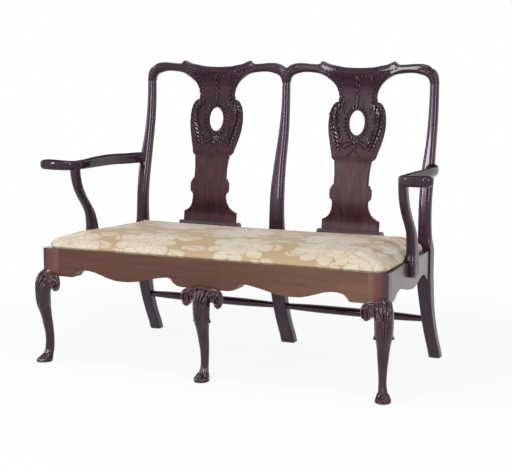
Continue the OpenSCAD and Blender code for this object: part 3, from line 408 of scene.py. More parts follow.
def row_tree(name):
    """Node tree that stands one leaf on each point, turned by the point's own directions."""
    tree = bpy.data.node_groups.new(name, "GeometryNodeTree")
    for key, kind, value in (
        ("Geometry", "Geometry", None), ("Leaf", "Object", None), ("Length share", "Float", 1.0),
        ("Relief share", "Float", 1.0), ("Variation", "Float", 0.12), ("Seed", "Int", 7),
        ("Finish", "Material", None),
    ):
        socket = tree.interface.new_socket(key, in_out="INPUT", socket_type="NodeSocket" + kind)
        if value is not None:
            socket.default_value = value
    tree.interface.new_socket("Geometry", in_out="OUTPUT", socket_type="NodeSocketGeometry")
    shop = Shop(name, tree)
    given = shop.node("NodeGroupInput").outputs

    def named(key, kind):
        return shop.node("GeometryNodeInputNamedAttribute", {"data_type": kind}, {"Name": key}).outputs[0]

    leaf = shop.node("GeometryNodeObjectInfo", {}, {"Object": given["Leaf"]}).outputs["Geometry"]
    turned = shop.node("FunctionNodeAlignRotationToVector", {"axis": "Z"},
                       {"Vector": named("outwards", "FLOAT_VECTOR")})
    turned = shop.node("FunctionNodeAlignRotationToVector", {"axis": "Y", "pivot_axis": "Z"}, {
        "Rotation": turned.outputs[0], "Vector": named("way", "FLOAT_VECTOR")})
    vary = shop.wire(given["Variation"])
    # Sockets 2 and 3 of a random value are the least and most of its number kind
    spread = shop.node("FunctionNodeRandomValue", {"data_type": "FLOAT"}, {
        "Seed": given["Seed"], 2: 1.0 - vary, 3: 1.0 + vary}).outputs[1]
    size = shop.wire(named("size", "FLOAT")) * spread
    length, relief = size * given["Length share"], size * given["Relief share"]
    scale = shop.node("ShaderNodeCombineXYZ", {}, [length, length, relief]).outputs[0]
    stood = shop.node("GeometryNodeInstanceOnPoints", {}, {
        "Points": given["Geometry"], "Instance": leaf, "Rotation": turned.outputs[0], "Scale": scale})
    real = shop.node("GeometryNodeRealizeInstances", {}, {"Geometry": stood.outputs[0]})
    dressed = shop.node("GeometryNodeSetMaterial", {},
                        {"Geometry": real.outputs[0], "Material": given["Finish"]})
    shop.node("NodeGroupOutput", {}, [dressed.outputs[0]])
    return tree


def carved_rows(name, side, rows, unit, values):
    """One piece made of leaves: rows holds arrays of places, ways, outward directions and sizes."""
    places, ways, outs, sizes = (np.concatenate([np.asarray(r[k], float) for r in rows]) for k in range(4))
    name = name + "_" + side
    if side == "left":
        places, ways, outs = (given * (-1, 1, 1) for given in (places, ways, outs))
    mesh = bpy.data.meshes.new(name + "_points")
    mesh.from_pydata((places + (0, FACE_Y, 0)).tolist(), [], [])
    for key, data in (("way", ways), ("outwards", outs)):
        store(mesh.attributes.new(key, "FLOAT_VECTOR", "POINT").data, "vector", data)
    store(mesh.attributes.new("size", "FLOAT", "POINT").data, "value", sizes)
    obj = bpy.data.objects.new(name + "_points", mesh)
    bpy.context.collection.objects.link(obj)
    bpy.context.collection.objects.link(unit)
    tree = bpy.data.node_groups.get("Carved rows") or row_tree("Carved rows")
    mod = obj.modifiers.new("Leaves", "NODES")
    mod.node_group = tree
    keys = {item.name: item.identifier for item in tree.interface.items_tree if item.in_out == "INPUT"}
    for key, value in {"Leaf": unit, "Finish": finish("leaf"), **values}.items():
        mod[keys[key]] = value
    made = bpy.data.meshes.new_from_object(obj.evaluated_get(bpy.context.evaluated_depsgraph_get()))
    obj.modifiers.remove(mod)
    for used in (obj, unit):
        shape = used.data
        bpy.data.objects.remove(used)
        bpy.data.meshes.remove(shape)
    made.name = name
    return dress(name, made, finish("leaf"), sharp=60)


def on_front(front, at, way, lift):
    """Places, ways and outward directions on a board's front, from places and ways in x and z."""
    x, z = at.T
    slope = (front(x, z + 0.001) - front(x, z - 0.001)) / 0.002
    out = np.stack([np.zeros(len(x)), -np.ones(len(x)), slope], 1) / np.sqrt(1 + slope**2)[:, None]
    places = np.stack([x, front(x, z), z], 1) + out * lift
    return places + (CHAIR_X, 0, 0), np.stack([way[:, 0], way[:, 1] * slope, way[:, 1]], 1), out


def row_on(front, path, n, turn, size, lift=0.0, mirror=True, ends=(0.0, 1.0)):
    """A row of n leaves on a board's front: path in x and in z from the neck, turn in degrees from it."""
    steps = np.linspace(0, 1, 200)
    line = along(curve(path, 8), 200) + (0, NECK_Z)

    def spot(share):
        return np.stack([np.interp(np.clip(share, 0, 1), steps, line[:, k]) for k in (0, 1)], 1)

    s = np.linspace(*ends, n)
    at = spot(s)
    way = spot(s + 0.01) - spot(s - 0.01)
    way /= np.maximum(np.linalg.norm(way, axis=1), 1e-9)[:, None]
    c, q = math.cos(math.radians(turn)), math.sin(math.radians(turn))
    way = np.stack([way[:, 0] * c - way[:, 1] * q, way[:, 0] * q + way[:, 1] * c], 1)
    sizes = np.interp(s, np.linspace(*ends, len(size)), size)
    if mirror:
        at, way = (np.concatenate([given, given * (-1, 1)]) for given in (at, way))
        sizes = np.concatenate([sizes, sizes])
    return *on_front(front, at, way, lift), sizes


# Node trees, written as expressions

class Wire:
    """A number socket, on which Python's operators add Math nodes."""

    def __init__(self, shop, socket):
        self.shop, self.socket = shop, socket

    def maths(self, operation, *values):
        node = self.shop.node("ShaderNodeMath", {"operation": operation}, list(values))
        return Wire(self.shop, node.outputs[0])

    def __add__(self, other):
        return self.maths("ADD", self, other)

    __radd__ = __add__

    def __mul__(self, other):
        return self.maths("MULTIPLY", self, other)

    __rmul__ = __mul__

    def __sub__(self, other):
        return self.maths("SUBTRACT", self, other)

    def __rsub__(self, other):
        return self.maths("SUBTRACT", other, self)

    def __truediv__(self, other):
        return self.maths("DIVIDE", self, other)

    def __pow__(self, other):
        return self.maths("POWER", self, other)

    def call(self, operation, *values):
        return self.maths(operation, self, *values)

    def ramp(self, low, high, a=0.0, b=1.0):
        """Smooth step from a at low to b at high."""
        node = self.shop.node(
            "ShaderNodeMapRange", {"interpolation_type": "SMOOTHSTEP"},
            {"Value": self, "From Min": low, "From Max": high, "To Min": a, "To Max": b},
        )
        return Wire(self.shop, node.outputs["Result"])


class Shop:
    """Adds nodes to one tree: a new material's, unless another is given."""

    def __init__(self, name, tree=None):
        if tree is None:
            self.material = bpy.data.materials.new(name)
            self.material.use_nodes = True
            tree = self.material.node_tree
        self.tree = tree
        tree.nodes.clear()

    def node(self, kind, settings=None, sockets=None):
        node = self.tree.nodes.new(kind)
        for key, value in (settings or {}).items():
            setattr(node, key, value)
        pairs = sockets.items() if isinstance(sockets, dict) else enumerate(sockets or [])
        for key, value in pairs:
            self.plug(node.inputs[key], value)
        return node

    def plug(self, socket, value):
        if isinstance(value, Wire):
            self.tree.links.new(value.socket, socket)
        elif isinstance(value, bpy.types.NodeSocket):
            self.tree.links.new(value, socket)
        elif isinstance(value, tuple) and socket.type == "RGBA" and len(value) == 3:
            socket.default_value = (*value, 1)
        else:
            socket.default_value = value

    def wire(self, socket):
        return Wire(self, socket)

    def place(self, scale=(1, 1, 1), turn=(0, 0, 0), uv=False):
        source = self.node("ShaderNodeTexCoord").outputs["UV" if uv else "Object"]
        return self.stretch(source, scale, turn)

    def noise(self, vector, scale, detail=3.0, rough=0.55, distortion=0.0):
        node = self.node("ShaderNodeTexNoise", {}, {
            "Vector": vector, "Scale": scale, "Detail": detail, "Roughness": rough, "Distortion": distortion})
        return self.wire(node.outputs["Fac"])

    def mix(self, factor, a, b, mode="MIX"):
        node = self.node("ShaderNodeMix", {"data_type": "RGBA", "blend_type": mode})
        self.plug(node.inputs[0], factor)
        self.plug(node.inputs[6], a)
        self.plug(node.inputs[7], b)
        return node.outputs[2]

    def stretch(self, vector, scale, turn=(0, 0, 0)):
        return self.node("ShaderNodeMapping", {},
                         {"Vector": vector, "Rotation": turn, "Scale": scale}).outputs[0]

    def vector(self, operation, *values):
        return self.node("ShaderNodeVectorMath", {"operation": operation}, list(values)).outputs[0]

    def axes(self, vector):
        """The three numbers of a vector."""
        split = self.node("ShaderNodeSeparateXYZ", {}, [vector])
        return [self.wire(socket) for socket in split.outputs]

    def cells(self, vector, uneven):
        """Cells round scattered middles: the distance from the middle, and the way from it."""
        node = self.node("ShaderNodeTexVoronoi", {"voronoi_dimensions": "2D", "feature": "F1"}, {
            "Vector": vector, "Scale": 1.0, "Randomness": uneven})
        way = self.vector("SUBTRACT", vector, node.outputs["Position"])
        return self.wire(node.outputs["Distance"]), self.axes(way)

    def bump(self, height, strength, distance):
        return self.node("ShaderNodeBump", {}, {
            "Height": height, "Strength": strength, "Distance": distance}).outputs[0]

    def white_rays(self):
        """1 for the rays that see a plain white studio."""
        path = self.node("ShaderNodeLightPath")
        seen = self.wire(path.outputs["Is Camera Ray"])
        for ray in ("Is Glossy Ray", "Is Transmission Ray"):
            seen = seen.call("MAXIMUM", path.outputs[ray])
        return seen

    def blend(self, share, a, b, kind):
        """A shader mixed from two, sent to the tree's output."""
        both = self.node("ShaderNodeMixShader", {}, [share, a, b])
        self.node("ShaderNodeOutput" + kind, {}, [both.outputs[0]])

    def surface(self, sockets):
        shader = self.node("ShaderNodeBsdfPrincipled", {}, sockets)
        self.node("ShaderNodeOutputMaterial", {}, [shader.outputs[0]])
        return self.material


def mix3(a, b, s):
    """Colour a share s of the way from a to b."""
    return tuple(p + (q - p) * s for p, q in zip(a, b))


# The second tint paints the right-hand splat and crest neck paler, as painted light where the light fell
POLISH_TINT, PAINTED_LIGHT_RIGHT = (0.95, 0.78, 1.0), (1.3, 1.65, 1.5)
GRAIN_TURNS = {"x": (0, 0, 0), "y": (0, 0, math.pi / 2), "z": (0, math.pi / 2, 0)}


def wood(
        name, dark, light, grain, figure, gloss, rough, pores=0.5, wear=0.3, fade=None, shine=0.14,
        sheen=POLISH_TINT, calm=None):
    """Polished wood, its grain along an axis, darker in its recesses and with wear on its edges."""
    shop = Shop(name)
    base = shop.place(turn=GRAIN_TURNS[grain])
    fine = shop.stretch(base, (2.2, 34, 34))
    broad = shop.stretch(base, (0.7, 7, 7))
    pore = shop.stretch(base, (30, 900, 900))
    streak = shop.noise(fine, 2.2, 6, 0.62, 0.5)
    cloud = shop.noise(broad, 1.6, 3, 0.5, 0.8)
    speck = shop.noise(pore, 1.0, 2, 0.5)
    tone = (streak.ramp(0.32, 0.68) * figure + cloud.ramp(0.3, 0.72) * (1 - figure)).call("MINIMUM", 1.0)
    colour = shop.mix(tone, dark, light)
    # Some pieces get their own tones and painted light here
    if fade:
        colour = fade(shop, colour)
    colour = shop.mix(speck.ramp(0.5, 0.72) * pores, colour, mix3(dark, (0, 0, 0), 0.45))
    hollow = shop.wire(shop.node("ShaderNodeAttribute", {"attribute_name": "hollow"}).outputs["Fac"])
    # Darkening in the recesses; on the arm's top, which is marked as a recess, this is painted shade
    colour = shop.mix(hollow.ramp(0.03, 0.3) * 0.8, colour, mix3(dark, (0.002, 0.001, 0.001), 0.75))
    colour = shop.mix((0 - hollow).ramp(0.12, 0.6) * wear, colour, mix3(light, (0.42, 0.27, 0.20), 0.2))
    rub = shop.noise(shop.place(), 9.0, 3)
    calm = calm(shop) if calm else 0.0
    return shop.surface({
        "Base Color": colour,
        "Roughness": rub * 0.12 + (rough - 0.06) + hollow.ramp(0.03, 0.35) * 0.3 + calm * 0.2,
        "Coat Weight": hollow.ramp(0.5, 0.08) * (1 - calm) * gloss, "Coat Roughness": max(0.06, rough - 0.2),
        "Coat Tint": (*sheen, 1), "Specular IOR Level": shine, "Specular Tint": (*sheen, 1),
        "Normal": shop.bump(speck.ramp(0.5, 0.75) * -1.0 + streak * 0.3, 0.07, 0.0006),
    })


def axis_of(shop, k):
    """Object coordinate k as a number."""
    return shop.axes(shop.place())[k]


def rail_painted_light(shop, colour):
    """Rails are painted lighter towards the right, as painted light where the light fell, and darker and purple
    towards the left, as painted shade.
    """
    x = axis_of(shop, 0)
    # Painted shade on the left, then painted light on the right
    colour = shop.mix(x.ramp(-0.05, -0.6), colour, (0.99, 0.76, 0.92), "MULTIPLY")
    return shop.mix(x.ramp(0.0, 0.6), colour, (2.05, 2.65, 2.45), "MULTIPLY")


def leg_tone_and_painted_light(shop, colour):
    """The leg's block takes the rail's colour, golden next to the rail and dark at the corner; the gold is painted
    stronger on the right-hand block, as painted light.
    """
    x, z = axis_of(shop, 0), axis_of(shop, 2)
    block = z.ramp(RAIL_LOW - 0.002, RAIL_LOW + 0.004)
    across = (x.call("ABSOLUTE") - (FRONT_W / 2 - LEG_BLOCK)) / LEG_BLOCK
    stripe = shop.noise(shop.place(scale=(60, 60, 2)), 1.0, 3) * 0.3
    gold = (across + stripe).ramp(0.62, 0.30)
    red = (across + stripe).ramp(1.0, 0.68)
    # Painted light: the gold grows stronger towards the right, where the light fell
    right = x.ramp(-0.3, 0.3) * 0.65 + 0.35
    shade = shop.mix(red, (0.016, 0.007, 0.007), (0.115, 0.032, 0.014))
    shade = shop.mix(gold * right, shade, (0.17, 0.108, 0.040))
    return shop.mix(block, colour, shade)


def neck_tone_and_painted_light(shop, colour):
    """The crest takes the splat's tone towards its neck, and the right one is painted paler there, as painted
    light, as its splat is.
    """
    neck = axis_of(shop, 2).ramp(NECK_Z + 0.05, NECK_Z)
    colour = shop.mix(neck, colour, (1.25, 1.15, 0.85), "MULTIPLY")
    # Painted light: the right crest's neck is paler, as its splat is
    return shop.mix(neck * axis_of(shop, 0).ramp(-0.1, 0.1), colour, PAINTED_LIGHT_RIGHT, "MULTIPLY")


def neck_calm(shop):
    """The crest loses its polish towards its carved neck."""
    across = (axis_of(shop, 0).call("ABSOLUTE") - CHAIR_X).call("ABSOLUTE")
    return across.ramp(0.13, 0.07)


def splat_tone_and_painted_light(shop, colour):
    """Splats are darker in their carved upper half, and the right one is painted paler, as painted light where the
    light fell.
    """
    # Painted light: the right splat is paler
    colour = shop.mix(axis_of(shop, 0).ramp(-0.1, 0.1), colour, PAINTED_LIGHT_RIGHT, "MULTIPLY")
    return shop.mix(axis_of(shop, 2).ramp(NECK_Z - 0.23, NECK_Z - 0.13), colour, (0.52, 0.58, 0.78), "MULTIPLY")


def coarse_cloth(name, colour, threads, depth=0.0003):
    """Plain weave of coarse threads."""
    shop = Shop(name)
    x, y, _ = shop.axes(shop.place())
    over = (x * threads).call("SINE").call("ABSOLUTE")
    under = (y * threads).call("SINE").call("ABSOLUTE")
    weave = over.call("MAXIMUM", under)
    slub = shop.noise(shop.place(), 120.0, 3)
    shade = shop.mix((1 - weave) * 0.5 + slub * 0.35, colour, mix3(colour, (0, 0, 0), 0.6))
    return shop.surface({"Base Color": shade, "Roughness": 0.95,
                         "Normal": shop.bump(weave + slub * 0.4, 0.7, depth)})


def dull_steel(name):
    """Plain steel with dark spots."""
    shop = Shop(name)
    spots = shop.noise(shop.place(), 300.0, 4)
    colour = shop.mix(spots.ramp(0.45, 0.7), (0.22, 0.21, 0.2), (0.1, 0.07, 0.05))
    return shop.surface({"Base Color": colour, "Metallic": 0.9, "Roughness": spots * 0.3 + 0.35})


def damask(name, cloth):
    """Woven silk: ivory flowers and leaves in satin on a tan twill ground."""
    ground, figure = tuple(cloth.ground), tuple(cloth.figure)
    shop = Shop(name)
    uv = shop.place(scale=(1 / cloth.bloom, 1 / cloth.bloom, 1), uv=True)
    warp = shop.node("ShaderNodeTexNoise", {}, {"Vector": uv, "Scale": 3.4, "Detail": 2.0}).outputs["Color"]
    bend = shop.node("ShaderNodeVectorMath", {"operation": "SCALE"}, {0: warp, "Scale": 0.16}).outputs[0]
    spot = shop.vector("ADD", uv, bend)
    r, (across, up, _) = shop.cells(spot, 0.5)
    angle = up.call("ARCTAN2", across)
    # Three rows of lobed petals, the middle row turned by half a petal, each edged by the ground
    even = (angle * 4.5).call("COSINE").call("ABSOLUTE")
    odd = (angle * 4.5).call("SINE").call("ABSOLUTE")
    first, second, third = even ** 0.5 * 0.17 + 0.25, odd ** 0.5 * 0.12 + 0.15, even ** 0.5 * 0.07 + 0.06
    lines = None
    for edge, inner, lobe in ((first, second, even), (second, third, odd), (third, None, even)):
        gap = 1 - (lobe * r).ramp(0.012, 0.036)
        if inner is not None:
            gap = gap * (r - inner).ramp(0.0, 0.01)
        gap = gap * (edge - r).ramp(0.0, 0.01)
        line = gap if edge is first else gap.call("MAXIMUM", 1 - (edge - r).call("ABSOLUTE").ramp(0.005, 0.015))
        lines = line if lines is None else lines.call("MAXIMUM", line)
    veins = (angle * 40.0).call("SINE").ramp(-1.0, 0.2, 0.78, 1.0)
    fall = (r - first).ramp(-0.2, 0.0) * -0.22 + 1.0
    bloom = (first - r).ramp(-0.004, 0.018) * (1 - lines * 0.62) * veins * fall
    # Leaves between the flowers
    lr, (lx, ly, _) = shop.cells(shop.stretch(spot, (2.2, 4.4, 1), (0, 0, 0.7)), 0.75)
    ly = ly.call("ABSOLUTE")
    rib = (ly - 0.015).ramp(0.0, 0.03)
    nerves = (lx * 30.0 - ly * 34.0).call("SINE").ramp(-0.9, -0.3, 0.55, 1.0)
    leaf = (1 - lr.ramp(0.30, 0.38)) * rib * nerves * (r - first).ramp(0.012, 0.03)
    mask = bloom.call("MAXIMUM", leaf * 0.7)
    # Threads
    tx, ty, _ = shop.axes(shop.place(uv=True))
    satin = (tx * 5200.0 + (ty * 900.0).call("SINE") * 0.6).call("SINE")
    twill = (tx * 3600.0 + ty * 3600.0).call("SINE")
    thread = satin * mask + twill * (1 - mask)
    # Uneven silk: long soft streaks across the width
    slub = shop.noise(shop.place(scale=(9, 60, 1), uv=True), 1.0, 4)
    cloudy = shop.noise(shop.place(uv=True), 14.0, 4)
    colour = shop.mix(mask, ground, figure)
    colour = shop.mix(thread * 0.06 + 0.06, colour, mix3(ground, (0.1, 0.05, 0.02), 0.6))
    colour = shop.mix(cloudy.ramp(0.35, 0.75) * 0.16 + slub.ramp(0.45, 0.75) * 0.14, colour,
                      mix3(ground, (0.3, 0.18, 0.08), 0.4))
    normal = shop.bump(thread * 0.5 + mask.ramp(0.1, 0.6) * 2.0, 0.5, 0.0003)
    return shop.surface({
        "Base Color": colour, "Roughness": 0.72 - mask * 0.2, "Sheen Weight": 0.2, "Sheen Roughness": 0.4,
        "Specular IOR Level": 0.25, "Normal": normal,
    })


def make_finishes(tones, cloth):
    """Every finish by its name, from the tones and the cloth that the user sets."""
    keys = ("dark", "light", "rail_dark", "rail", "splat_dark", "splat")
    dark, light, rail_dark, rail, splat_dark, splat = (tuple(getattr(tones, key)) for key in keys)
    gloss, beech = tones.gloss, ((0.4, 0.25, 0.13), (0.62, 0.44, 0.26))
    return {
        "mahogany_x": wood("Mahogany grain x", dark, light, "x", 0.55, gloss, 0.2, shine=0.2),
        "mahogany_z": wood("Mahogany grain z", dark, light, "z", 0.55, gloss, 0.2, shine=0.2),
        # Painted light: this rail finish is painted lighter towards the right and darker towards the left
        "rail_x": wood("Faded mahogany grain x", rail_dark, rail, "x", 0.55, gloss * 0.25, 0.34,
                       fade=rail_painted_light),
        "side_rail": wood(
            "Side rail mahogany", mix3(dark, rail_dark, 0.4), mix3(dark, rail, 0.35), "y", 0.5, 0.35, 0.3,
            shine=0.45, sheen=(0.97, 0.98, 1.0)),
        "splat": wood("Splat mahogany", splat_dark, splat, "z", 0.65, 0.02, 0.42, fade=splat_tone_and_painted_light, shine=0.16),
        "crest": wood(
            "Crest mahogany", dark, light, "x", 0.55, gloss * 0.7, 0.22, fade=neck_tone_and_painted_light, shine=0.16,
            calm=neck_calm),
        "leaf": wood("Leaf mahogany", dark, mix3(light, splat, 0.4), "z", 0.5, 0.5, 0.22, 0.2, 0.1, shine=0.3),
        "arm": wood("Arm mahogany", dark, light, "y", 0.5, 0.7, 0.24, shine=0.02),
        "bracket": wood(
            "Bracket mahogany", (0.018, 0.007, 0.008), (0.085, 0.033, 0.026), "z", 0.5, gloss, 0.24, 0.3, 0.2,
            shine=0.3),
        "leg": wood("Leg mahogany", dark, mix3(light, rail, 0.3), "z", 0.7, gloss, 0.22, fade=leg_tone_and_painted_light,
                    shine=0.2),
        "beech_x": wood("Beech grain x", *beech, "x", 0.6, 0.0, 0.62, 0.4),
        "beech_y": wood("Beech grain y", *beech, "y", 0.6, 0.0, 0.62, 0.4),
        "damask": damask("Woven damask", cloth),
        "webbing": coarse_cloth("Linen webbing", (0.5, 0.4, 0.25), 1800.0),
        "hessian": coarse_cloth("Hessian", (0.42, 0.3, 0.16), 1500.0),
        "dust_cloth": coarse_cloth("Black cotton", (0.018, 0.018, 0.02), 5000.0, 0.0001),
        "steel": dull_steel("Dulled steel"),
    }


FINISHES = {}


def finish(name):
    """Finishes are made once and shared."""
    if not FINISHES:
        scene = bpy.context.scene
        FINISHES.update(make_finishes(scene.settee_wood, scene.settee_cloth))
    return FINISHES[name]


# Back posts
STILE = [
    (0, 0, 1, 1, 1), (0.08, -0.05, 0.88, 0.94, 0.4), (0.16, -0.065, 0.74, 0.84, 0.15),
    (0.24, -0.045, 0.69, 0.775, 0.05), (0.32, 0.02, 0.68, 0.71, 0), (0.40, 0.14, 0.70, 0.60, 0),
    (0.51, 0.35, 0.60, 0.45, 0), (0.59, 0.53, 0.38, 0.375, 0), (0.67, 0.70, 0.22, 0.28, 0),
    (0.745, 0.82, 0.16, 0.18, 0), (0.823, 0.915, 0.11, 0.085, 0), (0.90, 0.967, 0.05, 0.02, 0), (1, 1, 0, 0, 0),
]
REAR_LEG = [
    (0, 1, 1), (0.106, 0.866, 0.975), (0.25, 0.64, 0.94), (0.42, 0.42, 0.92), (0.61, 0.235, 0.92),
    (0.80, 0.11, 0.965), (0.93, 0.04, 1), (1, 0, 1),
]
POST_D, FOOT_D, TOP_D = 0.038, 0.040, 0.027


def stile_y(z):
    """Middle line of a post above the seat, leaning back in an S."""
    return BLOCK_Y + LEAN * smooth(STILE, (np.asarray(z) - RAIL_TOP) / (POST_TOP - RAIL_TOP))


def post_rings(x, w, top_w, foot_w, splay, shift, taper):
    """Rings of one post from its foot to the crest, as deep and wide as its tables say."""
    rings = []
    # The foot's lower edge is a little eased
    for s, tuck in [(0, 0.0018), (0.004, 0.0005)] + [(s, 0.0) for s in np.linspace(0.012, 1, 40)]:
        fat = smooth(REAR_LEG, s, 2) / 2
        k = 0.5 - 0.42 * s
        wide, deep = foot_w + (w - foot_w) * s, FOOT_D + (POST_D - FOOT_D) * s
        ring = oblong(wide * fat - tuck, deep * fat - tuck, k, k)
        x_leg = x + shift + splay * (1 - s) ** 1.3
        rings.append([(x_leg + p, BLOCK_Y + KICK * smooth(REAR_LEG, s) + q, s * RAIL_LOW) for p, q in ring])
    for z, r in ((RAIL_LOW + 0.02, 0.08), (RAIL_TOP - 0.004, 0.08)):
        rings.append([(x + shift + p, BLOCK_Y + q, z) for p, q in oblong(w / 2, POST_D / 2, r, r)])
    for s in np.linspace(0.012, 1, 90):
        z = RAIL_TOP + s * (POST_TOP - RAIL_TOP)
        turn = float(ramp(s, 0.0, 0.09))
        half_w = (top_w + (w - top_w) * smooth(STILE, s, taper)) / 2
        half_d = (POST_D * (1 - 0.16 * turn) + (TOP_D - POST_D * 0.84) * s) / 2
        ring = oblong(half_w, half_d, 0.1 + 0.8 * turn, 0.1 + 0.45 * turn)
        rings.append([(x + shift * smooth(STILE, s, 4) + p, stile_y(z) + q, z) for p, q in ring])
    return rings


def stretcher(x0, x1, y, z, d):
    """Turned bar between two rear legs."""
    table = [(0, 0.7), (0.04, 0.74), (0.14, 0.88), (0.3, 1), (0.7, 1), (0.86, 0.88), (0.96, 0.74), (1, 0.7)]
    rings = []
    for s in np.linspace(0, 1, 60):
        r = smooth(table, s) * d / 2
        a = np.radians(np.arange(0, 360, 10))
        rings.append(np.stack([np.full(36, x0 + (x1 - x0) * s), y + r * np.cos(a), z + r * np.sin(a)], 1))
    return loft(rings)


class SETTEE_OT_posts(bpy.types.Operator):
    """Back posts and the stretchers between the rear legs"""

    bl_idname = "settee.posts"
    bl_label = "Back posts"

    def execute(self, context):
        for side in SIDES:
            rings = post_rings(POST_X, 0.048, 0.029, 0.041, 0.006, POST_SHIFT, 2)
            carved_piece("back_post", side, [loft(rings)], "mahogany_z", "dressed")
            lo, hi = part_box("rear_stretcher_right")
            y = (lo[1] + hi[1]) / 2 - FACE_Y
            bar = stretcher(lo[0], hi[0], y, (lo[2] + hi[2]) / 2, hi[2] - lo[2])
            carved_piece("rear_stretcher", side, [bar], "mahogany_x", "dressed")
        rings = post_rings(0, 0.057, 0.026, 0.053, 0, 0, 3)
        carved_piece("back_post", "centre", [loft(rings)], "mahogany_z", "dressed")
        return {"FINISHED"}


# Crest rails
CREST_TOP = [
    (0, 0.82), (0.13, 0.83), (0.22, 0.846), (0.30, 0.878), (0.38, 0.91), (0.435, 0.955), (0.485, 1.0),
    (0.51, 0.95), (0.545, 0.915),
]
CREST_ARM = [(0.545, 0.915), (0.65, 0.925), (0.76, 0.945), (0.85, 0.94), (0.92, 0.9)]
CREST_UNDER = [
    (0.945, 0.415), (0.925, 0.54), (0.87, 0.626), (0.74, 0.69), (0.585, 0.675), (0.475, 0.626), (0.38, 0.51),
    (0.31, 0.36), (0.267, 0.18), (0.248, 0),
]
CREST_OUTER = [(0.965, 0.83), (1.01, 0.765), (1.04, 0.64), (1.053, 0.5)]
CREST_INNER = [(0.965, 0.845), (1, 0.80)]
CREST_Y, CREST_T, SCOOP = BLOCK_Y + LEAN, 0.027, 0.007


def crest_points(shares):
    """Places in x and z from shares of half a chair's width and of the crest's height."""
    return [(u * CHAIR_X, NECK_Z + v * CREST_H) for u, v in shares]


def crest_half(end, foot):
    """Half a crest's outline, from the middle of its top round to its neck."""
    return np.concatenate([
        curve(crest_points(CREST_TOP), 8), curve(crest_points(CREST_ARM) + crest_points(end), 8)[1:], foot,
        curve(crest_points(CREST_UNDER), 8),
    ])


def crest_scoop(x, z):
    """1 on the neck, whose faces run on from the splat, and 0 on the arms."""
    return (1 - ramp(z, NECK_Z + 0.030, NECK_Z + 0.088)) * (1 - ramp(np.abs(x), 0.070, 0.135))


def crest_front(x, z):
    """Front of the crest: full on the arms, and scooped to the splat's face towards the neck."""
    saddle = ramp(z, NECK_Z + 0.085, NECK_Z + 0.108) * (1 - ramp(np.abs(x), 0.07, 0.13))
    lean = 0.0012 * (1 - np.exp(-np.maximum(z - NECK_Z, 0) / 0.015))
    return CREST_Y - CREST_T / 2 + (SCOOP + lean) * crest_scoop(x, z) + 0.003 * saddle


def crest_back(x, z):
    """Back of the crest, scooped on its neck as the front is."""
    return CREST_Y + CREST_T / 2 - SCOOP * crest_scoop(x, z)


def crest_rounding(x, z):
    """Rounding of the front's edges: the arms are as round as the posts, and the neck is crisp."""
    return 0.0032 + 0.0083 * ramp(np.abs(x), 0.105, 0.165)


def crest_rounding_back(x, z):
    """Rounding of the back's edges, which is smaller than the front's."""
    return 0.0025 + 0.0045 * ramp(np.abs(x), 0.105, 0.165)


def crest_joint(x, z):
    """Where the crest meets its posts, its splat and the other crest."""
    post = (z < POST_TOP + JOINT_GAP) & (np.abs(x) > 0.15)
    return post | (z < NECK_Z + JOINT_GAP) | (x < JOINT_GAP - CHAIR_X)


def crest_relief(x, z):
    """Stems and lines carved on a crest rail: x from the chair's middle."""
    ax = np.abs(x)
    top = NECK_Z + smooth(CREST_TOP, np.minimum(ax, 0.545 * CHAIR_X) / CHAIR_X) * CREST_H
    h = np.exp(-(((top - z) - 0.0045) / 0.002) ** 2) * 0.0016 * (ax < 0.5 * CHAIR_X)
    h -= np.exp(-(((top - z) - 0.0095) / 0.002) ** 2) * 0.0012 * (ax < 0.42 * CHAIR_X)
    for path, width, height, kind, ribs in (
        ([(0.118, 0.087), (0.096, 0.071), (0.078, 0.048), (0.0665, 0.022), (0.0625, 0)],
         [0.002, 0.0032, 0.0036, 0.0032, 0.003], 0.0034, "rope", 20),
        ([(0.216, 0.098), (0.236, 0.100), (0.252, 0.090), (0.262, 0.076), (0.268, 0.058)],
         [0.001, 0.0035, 0.004, 0.0035, 0.001], 0.0024, "rope", 14),
        ([(0.0, 0.084), (0.04, 0.086), (0.074, 0.094)], [0.0028, 0.0028, 0.0018], 0.0026, "rope", 14),
    ):
        h = np.maximum(h, stroke(ax, z - NECK_Z, path, width, height, kind, ribs))
    return h


def crest_rows():
    """Leaves of the crest: a band under its top, sprays on its neck and corners, and a drop of husks."""
    return [
        row_on(crest_front, [(0.004, 0.078), (0.04, 0.080), (0.076, 0.088)], 7, -62, (0.0155, 0.0140)),
        row_on(crest_front, [(0.007, 0.089), (0.04, 0.091), (0.074, 0.098)], 7, 50, (0.0100, 0.0090)),
        row_on(crest_front, [(0.078, 0.084), (0.1, 0.086), (0.134, 0.096)], 5, 20, (0.0175, 0.0125)),
        row_on(crest_front, [(0.118, 0.090), (0.096, 0.074), (0.0775, 0.051), (0.066, 0.024), (0.062, 0.002)],
               8, 34, (0.010, 0.0115, 0.0115, 0.010), ends=(0.0, 0.97)),
        row_on(crest_front, [(0.114, 0.088), (0.093, 0.073), (0.075, 0.050), (0.0635, 0.024), (0.0595, 0.004)],
               8, -44, (0.012, 0.0165, 0.0165, 0.014), ends=(0.05, 0.97)),
        row_on(crest_front, [(0.052, 0.074), (0.058, 0.060), (0.052, 0.046)], 4, -10, (0.015, 0.011)),
        row_on(crest_front, [(0.214, 0.097), (0.236, 0.099), (0.252, 0.089), (0.264, 0.072)], 6, 30,
               (0.007, 0.0100, 0.008)),
        row_on(crest_front, [(0.214, 0.097), (0.236, 0.099), (0.252, 0.089), (0.264, 0.072)], 6, -34,
               (0.007, 0.0090, 0.007)),
        husk_drop(crest_front, 0.074, 0.010, 4, 0.0200, 0.0160),
    ]


